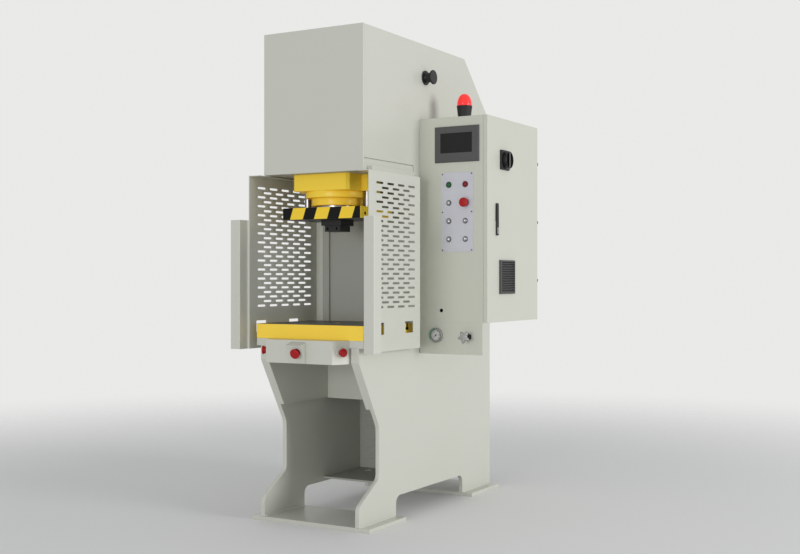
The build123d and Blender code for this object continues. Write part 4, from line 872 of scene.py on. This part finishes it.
def collarPick(centres, normals):
    # the push buttons' rings are dark steel, the stops' rings dark red, the palm buttons' pale
    nearStop = np.any([np.linalg.norm(centres - stopPlaces[name]["at"], axis=1)
                       < stopSize["collar reach"] for name in ("panel_estop", "box_estop")], 0)
    onPanel = centres[:, 1] > buttonSize["panel face"] - buttonSize["collar zone"]
    return np.where(nearStop, 1, np.where(onPanel, 0, 2))


def makeStops():
    # the heads of the red controls; their collars are given back
    collars = []
    for node, spot in stopPlaces.items():
        palm = "palm" in node
        spread = (spot["at"], spot["axis"], (0, 0, 1))
        piece(titled(node) + "Head",
              stood(turned(mushroomProfile(spot["radius"], palm), 56), *spread),
              ["redPlastic", "redPlastic" if palm else "darkRedPlastic"], node,
              pick=headPick(spot))
        kind = "palm collar" if palm else "collar"
        outer, rise, bore = stopSize[kind], stopSize[kind + " proud"], stopSize["neck"] + 0.5
        profile = [(bore, 0), (outer, 0), (outer, rise - 1.4), (outer - 0.4, rise - 0.5),
                   (outer - 1.3, rise), (bore + 0.6, rise), (bore, rise - 0.6), (bore, 0)]
        collars.append(stood(turned(profile, 48), *spread))
    return collars


def makeButtons():
    # domed caps on their stems; their collars are given back
    cap, foot, rim = buttonSize["cap"], buttonSize["foot"], buttonSize["rim"]
    stem, deep = buttonSize["stem"], -buttonSize["stem length"]
    outer, rise, bore = buttonSize["collar"], buttonSize["collar proud"], buttonSize["cap"] + 0.5
    capProfile = np.concatenate([[(0, deep), (stem, deep), (stem, foot), (cap, foot)],
                                 domeOf(cap, rim, buttonSize["proud"] - rim, 9)])
    collarProfile = [(bore, 0), (outer, 0), (outer - 0.1, 0.7), (outer - 0.6, 1.7),
                     (cap + 1.4, rise - 0.3), (cap + 0.9, rise), (bore, rise - 0.4), (bore, 0)]
    collars = []
    for number in range(1, 6):
        node = f"push_button_{number}"
        middle = nodeBox(node).mean(0)
        middle[1] = buttonSize["panel face"]
        piece(f"pushCap{number}", stood(turned(capProfile, 40), middle, outwards),
              "buttonChrome", node)
        collars.append(stood(turned(collarProfile, 40), middle, outwards))
    return collars


def makeLamps():
    # a domed lens with a dark ring round its foot; the left lens is green, the right one red
    low, high = nodeBox("pilot_lamps")
    middleX, face = (low[0] + high[0]) / 2, buttonSize["panel face"]
    lens, ring, rise = lampSize["lens"], lampSize["ring"], lampSize["ring proud"]
    dome = domeOf(lens, lampSize["proud"] - lampSize["dome"], lampSize["dome"], 7)
    profile = np.concatenate([[(0, 0), (ring, 0), (ring, rise - 0.8), (ring - 0.6, rise),
                               (lens + 0.4, rise), (lens, rise - 0.5)], dome])
    parts = [stood(turned(profile, 40), (x, face, (low[2] + high[2]) / 2), outwards)
             for x in (low[0] + ring, high[0] - ring)]

    def lensPick(centres, normals):
        proud = centres[:, 1] < face - rise + 0.1
        return np.where(proud, np.where(centres[:, 0] < middleX, 1, 2), 0)

    piece("pilotLenses", joined(parts), ["darkPlastic", "greenLens", "redLens"], "pilot_lamps",
          pick=lensPick)


stopCollars = makeStops()
piece("buttonCollars", joined(makeButtons() + stopCollars),
      ["ringSteel", "darkRedPlastic", "machinePaint"], "button_collars", pick=collarPick)
makeLamps()
print("stage: buttons and lamps")


hingeSize = {"rises": (169.2, 432.2, 696.2), "x": 552.0, "knuckle": 5.5, "sleeve": 8.8,
             "bore": 3.4, "gap": 0.5, "half": 14.0, "edge": 1.0}


def makeHinges():
    # sleeves round the door's halves of the three hinges, turned about the hinge line
    low, high = nodeBox("cabinet_shell")
    bore, sleeve, edge = hingeSize["bore"], hingeSize["sleeve"], hingeSize["edge"]
    foot, top = hingeSize["gap"], hingeSize["half"]
    profile = [(bore, foot), (sleeve - edge, foot), (sleeve, foot + edge), (sleeve, top - edge),
               (sleeve - edge, top), (bore, top), (bore, foot)]
    parts = [moved(turned(profile, 32),
                   (hingeSize["x"], high[1] - hingeSize["knuckle"], low[2] + rise))
             for rise in hingeSize["rises"]]
    piece("hingeSleeves", joined(parts), "blackSteel", body="door")


makeHinges()
print("stage: door hinges")


latchSize = {
    "centre": (575.8, 1204.0), "face": 564.0, "thick": 6.0, "half": 11.0, "tail": 24.0,
    "arm": 112.6, "edge": 1.6, "hollow": ((-5.5, 26), (5.5, 26), (4.6, 102), (-4.6, 102)),
    "pin": 6, "lock": (12.5, 29.0, 1.2), "lock drop": 3.5, "key": (1.6, 8.0, 0.7),
}


def makeLatch():
    # a flat tapering handle with rounded rims, and a bright lock plate with a key slot over its
    # pivot
    y, z = latchSize["centre"]
    half, thick, pin = latchSize["half"], latchSize["thick"], latchSize["pin"]
    handle = rounded([(-half, -latchSize["tail"]), (half, -latchSize["tail"]),
                      (half * 0.8, latchSize["arm"]), (-half * 0.8, latchSize["arm"])],
                     [8, 8, 6, 6], 6)
    body = stacked(handle, edgeLevels(0, thick, latchSize["edge"]))
    hollow = stacked(rounded(latchSize["hollow"], 4.4, 5),
                     [(0, thick - 0.3), (0.5, thick + 0.3), (1.6, thick + 0.3)])
    stem = turned([(0, -4), (pin, -4), (pin, 0.5), (0, 0.5)], 32)
    wide, tall, proud = latchSize["lock"]
    plate = stacked(boxOutline(wide, tall, 5.0), edgeLevels(thick - 0.4, thick + proud, 0.6))
    # the key slot is a thin black sheet on the lock plate: painted shade in place of the slot's
    # opening
    key = stacked(boxOutline(*latchSize["key"]),
                  [(0, thick + proud - 0.2), (0, thick + proud + 0.08)])
    drop = (0, -latchSize["lock drop"], 0)
    for name, part, look, node, slot in (
            ("latchHandle", joined([body, hollow, stem]), "blackPlastic", "latch_lever", None),
            ("latchLock", moved(plate, drop), "castAlloy", None, "chrome"),
            ("latchKeySlot", moved(key, drop), "blackPlastic", None, "black_plastic")):
        piece(name, stood(part, (latchSize["face"], y, z), (1, 0, 0), (0, 1, 0)), look, node,
              "latch")


makeLatch()
print("stage: latch")


gaugeSize = {
    "centre": (321.3, 757.5), "front": 476.0, "back": 488.0, "dial": 483.0, "radius": 32.0,
    "window": 22.5, "slope": 3.4, "body": 24.0, "body radius": 27.5, "start": 225.0,
    "sweep": 270.0, "top": 25, "steps": 5, "numeral": 4.6, "above": 0.12, "ink above": 0.2,
}


def makeGauge():
    # case with a wide sloped rim, white dial with strokes and numerals, coloured arcs on the rim,
    # and a dark inner wall under the rim that is a painted shadow
    x, z = gaugeSize["centre"]
    front, radius, window = gaugeSize["front"], gaugeSize["radius"], gaugeSize["window"]
    deep, dial, slope = gaugeSize["back"] - front, gaugeSize["dial"] - front, gaugeSize["slope"]
    body, end = gaugeSize["body radius"], -deep - gaugeSize["body"]
    spread = ((x, front, z), outwards)
    profile = [(0, end), (body, end), (body, -deep), (radius, -deep), (radius, -2.0),
               (radius - 0.5, -0.8), (radius - 1.4, -0.1), (radius - 2.2, 0),
               (window + 1.2, -slope), (window + 0.6, -slope - 0.1), (window, -slope - 0.8),
               (window, -dial), (0, -dial)]

    def casePick(centres, normals):
        onDial = (np.abs(centres[:, 1] - gaugeSize["dial"]) < 0.1) & (normals[:, 1] < -0.9)
        away = np.hypot(centres[:, 0] - x, centres[:, 2] - z)
        # the inner wall between the rim and the dial takes the dark ink: a painted shadow of the
        # rim
        inside = (centres[:, 1] > front + slope) & (away < window + 1.0) & ~onDial
        return np.where(onDial, 1, np.where(inside, 2, 0))

    piece("gaugeCase", stood(turned(profile, 72), *spread), ["castAlloy", "dialWhite", "dialInk"],
          "gauge_case", pick=casePick)
    inner, above = window + 1.4, gaugeSize["above"]
    ringIn, ringOut = window - 5.4, window - 4.0
    green = [arcBand(inner, radius - 2.3, 92, 218, above - slope, above),
             arcBand(ringIn, ringOut, 98, 205, above - dial, above - dial)]
    red = [arcBand(inner, inner + 3.0, -60, 66, above - slope, 1.7 - slope),
           arcBand(ringIn, ringOut, -42, 20, above - dial, above - dial)]
    start, sweep, steps = gaugeSize["start"], gaugeSize["sweep"], gaugeSize["steps"]
    level, fine = gaugeSize["ink above"] - dial, steps * 5
    ink = [tickMarks(start - sweep * np.arange(steps + 1) / steps, window - 5.6, window - 1.4,
                     0.9, level),
           tickMarks(start - sweep * np.arange(fine + 1) / fine, window - 3.8, window - 1.4,
                     0.4, level)]
    for step in range(steps + 1):
        angle = math.radians(start - sweep * step / steps)
        spot = (math.cos(angle) * (window - 9.0), math.sin(angle) * (window - 9.0), level)
        ink.append(numeral(str(step * gaugeSize["top"] // steps), gaugeSize["numeral"], spot))
    for name, parts, look, slot in (("gaugeGreenArcs", green, "dialGreen", "panel"),
                                    ("gaugeRedArcs", red, "dialRed", "panel"),
                                    ("gaugeInk", ink, "dialInk", "black_plastic")):
        piece(name, stood(joined(parts), *spread), look, outward=False)
    tip = rounded([(-6.0, -1.2), (0, -1.4), (19.0, -0.25), (19.0, 0.25), (0, 1.4), (-6.0, 1.2)],
                  0.2, 2)
    hub = turned([(0, -7.0), (3.2, -6.8), (3.2, -5.9), (2.4, -5.4), (0, -5.4)], 32)
    turn = math.radians(start)
    piece("gaugePointer", stood(joined([stacked(tip, [(0, -6.6), (0, -6.0)]), hub]), *spread,
                                (math.cos(turn), 0, math.sin(turn))), "dialInk", "gauge_needle")
    lens = turned([(window + 0.4, -slope - 0.6), (window * 0.97, -slope - 0.3),
                   (window * 0.6, -slope + 0.2), (0, -slope + 0.4)], 56)
    piece("gaugeLens", stood(lens, *spread), "gaugeGlass", outward=False)


makeGauge()
print("stage: pressure gauge")


starSize = {
    "centre": (475.0, 754.0), "front": 436.0, "thick": 13.0, "root": 16.0, "lobe": 26.2,
    "lobes": 5, "turn": 48.0, "narrow": 1.4, "stem": 6.0, "stem length": 31, "hub back": 14,
    "levels": ((0.80, 0), (0.94, 0.6), (1.0, 2.6), (1.0, 9.0), (0.96, 11.4), (0.88, 12.6),
               (0.60, 12.8), (0.42, 12.8), (0.36, 13.0), (0.12, 13.0)),   # share, height
}


def makeStarKnob():
    # the radius swings from root to lobe five times; the rim is rounded and the hub stands up
    x, z = starSize["centre"]
    front, root, lobe, thick = [starSize[key] for key in ("front", "root", "lobe", "thick")]
    angle = np.linspace(0, 2 * np.pi, 144, endpoint=False)
    wave = 0.5 + 0.5 * np.cos(starSize["lobes"] * (angle - math.radians(starSize["turn"])))
    radius = root + (lobe - root) * wave ** starSize["narrow"]
    levels = np.array(starSize["levels"])
    # towards the middle the outline turns from the star into a circle
    circle = np.clip((0.6 - levels[:, :1]) / 0.2, 0, 1)
    reach = levels[:, :1] * (radius * (1 - circle) + lobe * circle)
    points = np.stack([reach * np.cos(angle), reach * np.sin(angle),
                       np.broadcast_to(levels[:, 1:] - thick, reach.shape)], -1)
    star = (points.reshape(-1, 3), closedFaces(len(levels), len(angle)))
    stem, deep = starSize["stem"], -thick - starSize["stem length"] + 1
    shaft = turned([(0, 2 - thick), (stem, 2 - thick), (stem, deep), (0, deep)], 32)
    piece("starKnob", stood(joined([star, shaft]), (x, front, z), outwards),
          ["castAlloy", "blackPlastic"], "star_knob", sharp=40,
          pick=lambda centres, normals: centres[:, 1] > front + starSize["hub back"])


makeStarKnob()
print("stage: star knob")


beaconSize = {"centre": (389.0, 620.0), "foot": 1680.9, "base": 64.0, "low": 27.0, "high": 33.3,
              "flutes": 24, "flute": 0.9, "dome": 52.0, "ribs": 9, "rib": 0.35, "bullet": 0.80}


def makeBeacon():
    # a fluted cone with a plain collar, and a dome whose radius follows a soft bullet with ribs
    x, y = beaconSize["centre"]
    low, high, base = beaconSize["low"], beaconSize["high"], beaconSize["base"]
    rise = np.linspace(0, 1, 12)
    cone = np.column_stack([low + (high - low) * rise * 0.86, 5 + rise * (base - 15)])
    foot = turned([(0, 0), (low - 0.6, 0), (low, 0.8), (low, 4.0), (low - 0.8, 5.0)], 72)
    shaft = turned(cone, 144, beaconSize["flutes"], beaconSize["flute"])
    collar = turned([(high - 1.6, base - 10), (high - 0.4, base - 9.4), (high, base - 8),
                     (high, base - 0.8), (high - 0.8, base), (0, base)], 72)
    origin = (x, y, beaconSize["foot"])
    piece("beaconBase", moved(joined([foot, shaft, collar]), origin), "darkPlastic",
          "beacon_base")
    turn, rib = np.linspace(0, np.pi / 2, 46), beaconSize["rib"]
    ripple = rib * np.cos(turn / (np.pi / 2) * 2 * np.pi * beaconSize["ribs"]) * (turn < 1.35)
    radius = np.maximum((high - 0.9) * np.cos(turn) ** beaconSize["bullet"] + ripple - rib, 0)
    radius[-1] = 0
    height = np.maximum(beaconSize["dome"] * np.sin(turn), 1.6)
    dome = turned(np.concatenate([[(0, 0), (high - 0.3, 0), (high - 0.3, 1.6)],
                                  np.column_stack([radius, height])]), 72)
    piece("beaconDome", moved(dome, (x, y, beaconSize["foot"] + base)), "beaconLens",
          "beacon_dome")


makeBeacon()
print("stage: beacon")


stageSize = {"floor": 14.0, "sunk": 0.0002, "fade": (1.5, 5.5), "pale": (0.80, 0.80, 0.79),
             "roughness": 0.75, "gloss": 0.2}        # metres


def makeStage():
    # a flat disc under the press; beyond the fade it lets the pale world show
    ring = np.linspace(0, 1, 24) ** 2 * stageSize["floor"]
    points, faces = turned(np.column_stack([ring, np.zeros(24)]), 96)
    mesh = bpy.data.meshes.new("floor")
    mesh.from_pydata((points - (0, 0, stageSize["sunk"])).tolist(), [], faces)
    shader = newMaterial("paleFloor")
    tree = shader.id_data
    setInputs(shader, {"Base Color": stageSize["pale"], "Roughness": stageSize["roughness"],
                       gloss: stageSize["gloss"]})
    where = tree.nodes.new("ShaderNodeTexCoord").outputs["Object"]
    length = addNode(tree, "ShaderNodeVectorMath", {0: where}, operation="LENGTH")
    near, far = stageSize["fade"]
    fade = addNode(tree, "ShaderNodeMapRange", {"Value": length.outputs["Value"],
                                                "From Min": near, "From Max": far},
                   interpolation_type="SMOOTHSTEP")
    clear = tree.nodes.new("ShaderNodeBsdfTransparent")
    mix = addNode(tree, "ShaderNodeMixShader", {0: fade.outputs[0], 1: shader.outputs[0],
                                                2: clear.outputs[0]})
    setInputs(tree.nodes["Material Output"], {"Surface": mix.outputs[0]})
    mesh.materials.append(bpy.data.materials["paleFloor"])
    addObject("floor", mesh)


worldSize = {"light": 0.56, "light colour": (0.96, 0.98, 1.0), "seen": (0.82, 0.82, 0.81)}


def makeWorld():
    # soft grey light all round; the camera, metal and glass see a pale background
    world = bpy.data.worlds.new("studio")
    bpy.context.scene.world = world
    world.use_nodes = True
    tree = world.node_tree
    light = tree.nodes["Background"]
    setInputs(light, {"Color": worldSize["light colour"], "Strength": worldSize["light"]})
    seen = addNode(tree, "ShaderNodeBackground", {"Color": worldSize["seen"], "Strength": 1.0})
    path = tree.nodes.new("ShaderNodeLightPath").outputs
    mirrorRays = addMath(tree, "ADD", path["Is Glossy Ray"], path["Is Transmission Ray"])
    which = addMath(tree, "ADD", path["Is Camera Ray"], mirrorRays, clamp=True)
    mix = addNode(tree, "ShaderNodeMixShader", {0: which, 1: light.outputs[0],
                                                2: seen.outputs[0]})
    setInputs(tree.nodes["World Output"], {"Surface": mix.outputs[0]})


lamps = {                      # metres and watts
    "key": {"at": (9.2, 0.25, 1.9), "aim": (0.2, 0.0, 1.0), "size": 3.4, "power": 392},
    "front": {"at": (0.6, -9.0, 1.2), "aim": (0, 0, 1.0), "size": 3.2, "power": 207},
}


def makeLamp(name, size):
    lamp = bpy.data.lights.new(name, "AREA")
    lamp.shape, lamp.size, lamp.energy = "DISK", size["size"], size["power"]
    thing = addObject(name, lamp)
    thing.location = size["at"]
    away = np.subtract(size["at"], size["aim"])
    flat = math.hypot(away[0], away[1])
    thing.rotation_euler = (math.atan2(flat, away[2]), 0, math.atan2(away[0], -away[1]))


cameraSize = {"at": (2.665, -4.4727, 1.0), "turn": 30.0, "lens": 52.38, "shift": 0.0015,
              "sensor": 36.0, "far": 60}


def makeCamera():
    lens = bpy.data.cameras.new("camera")
    lens.lens, lens.sensor_width = cameraSize["lens"], cameraSize["sensor"]
    lens.sensor_fit, lens.shift_y = "HORIZONTAL", cameraSize["shift"]
    lens.clip_end = cameraSize["far"]
    thing = addObject("camera", lens)
    thing.location = cameraSize["at"]
    thing.rotation_euler = (math.pi / 2, 0, math.radians(cameraSize["turn"]))
    bpy.context.scene.camera = thing


makeStage()
makeWorld()
for lampName, size in lamps.items():
    makeLamp(lampName, size)
makeCamera()
bpy.context.scene.view_settings.view_transform = "Standard"
print("stage: floor, lamps and camera")
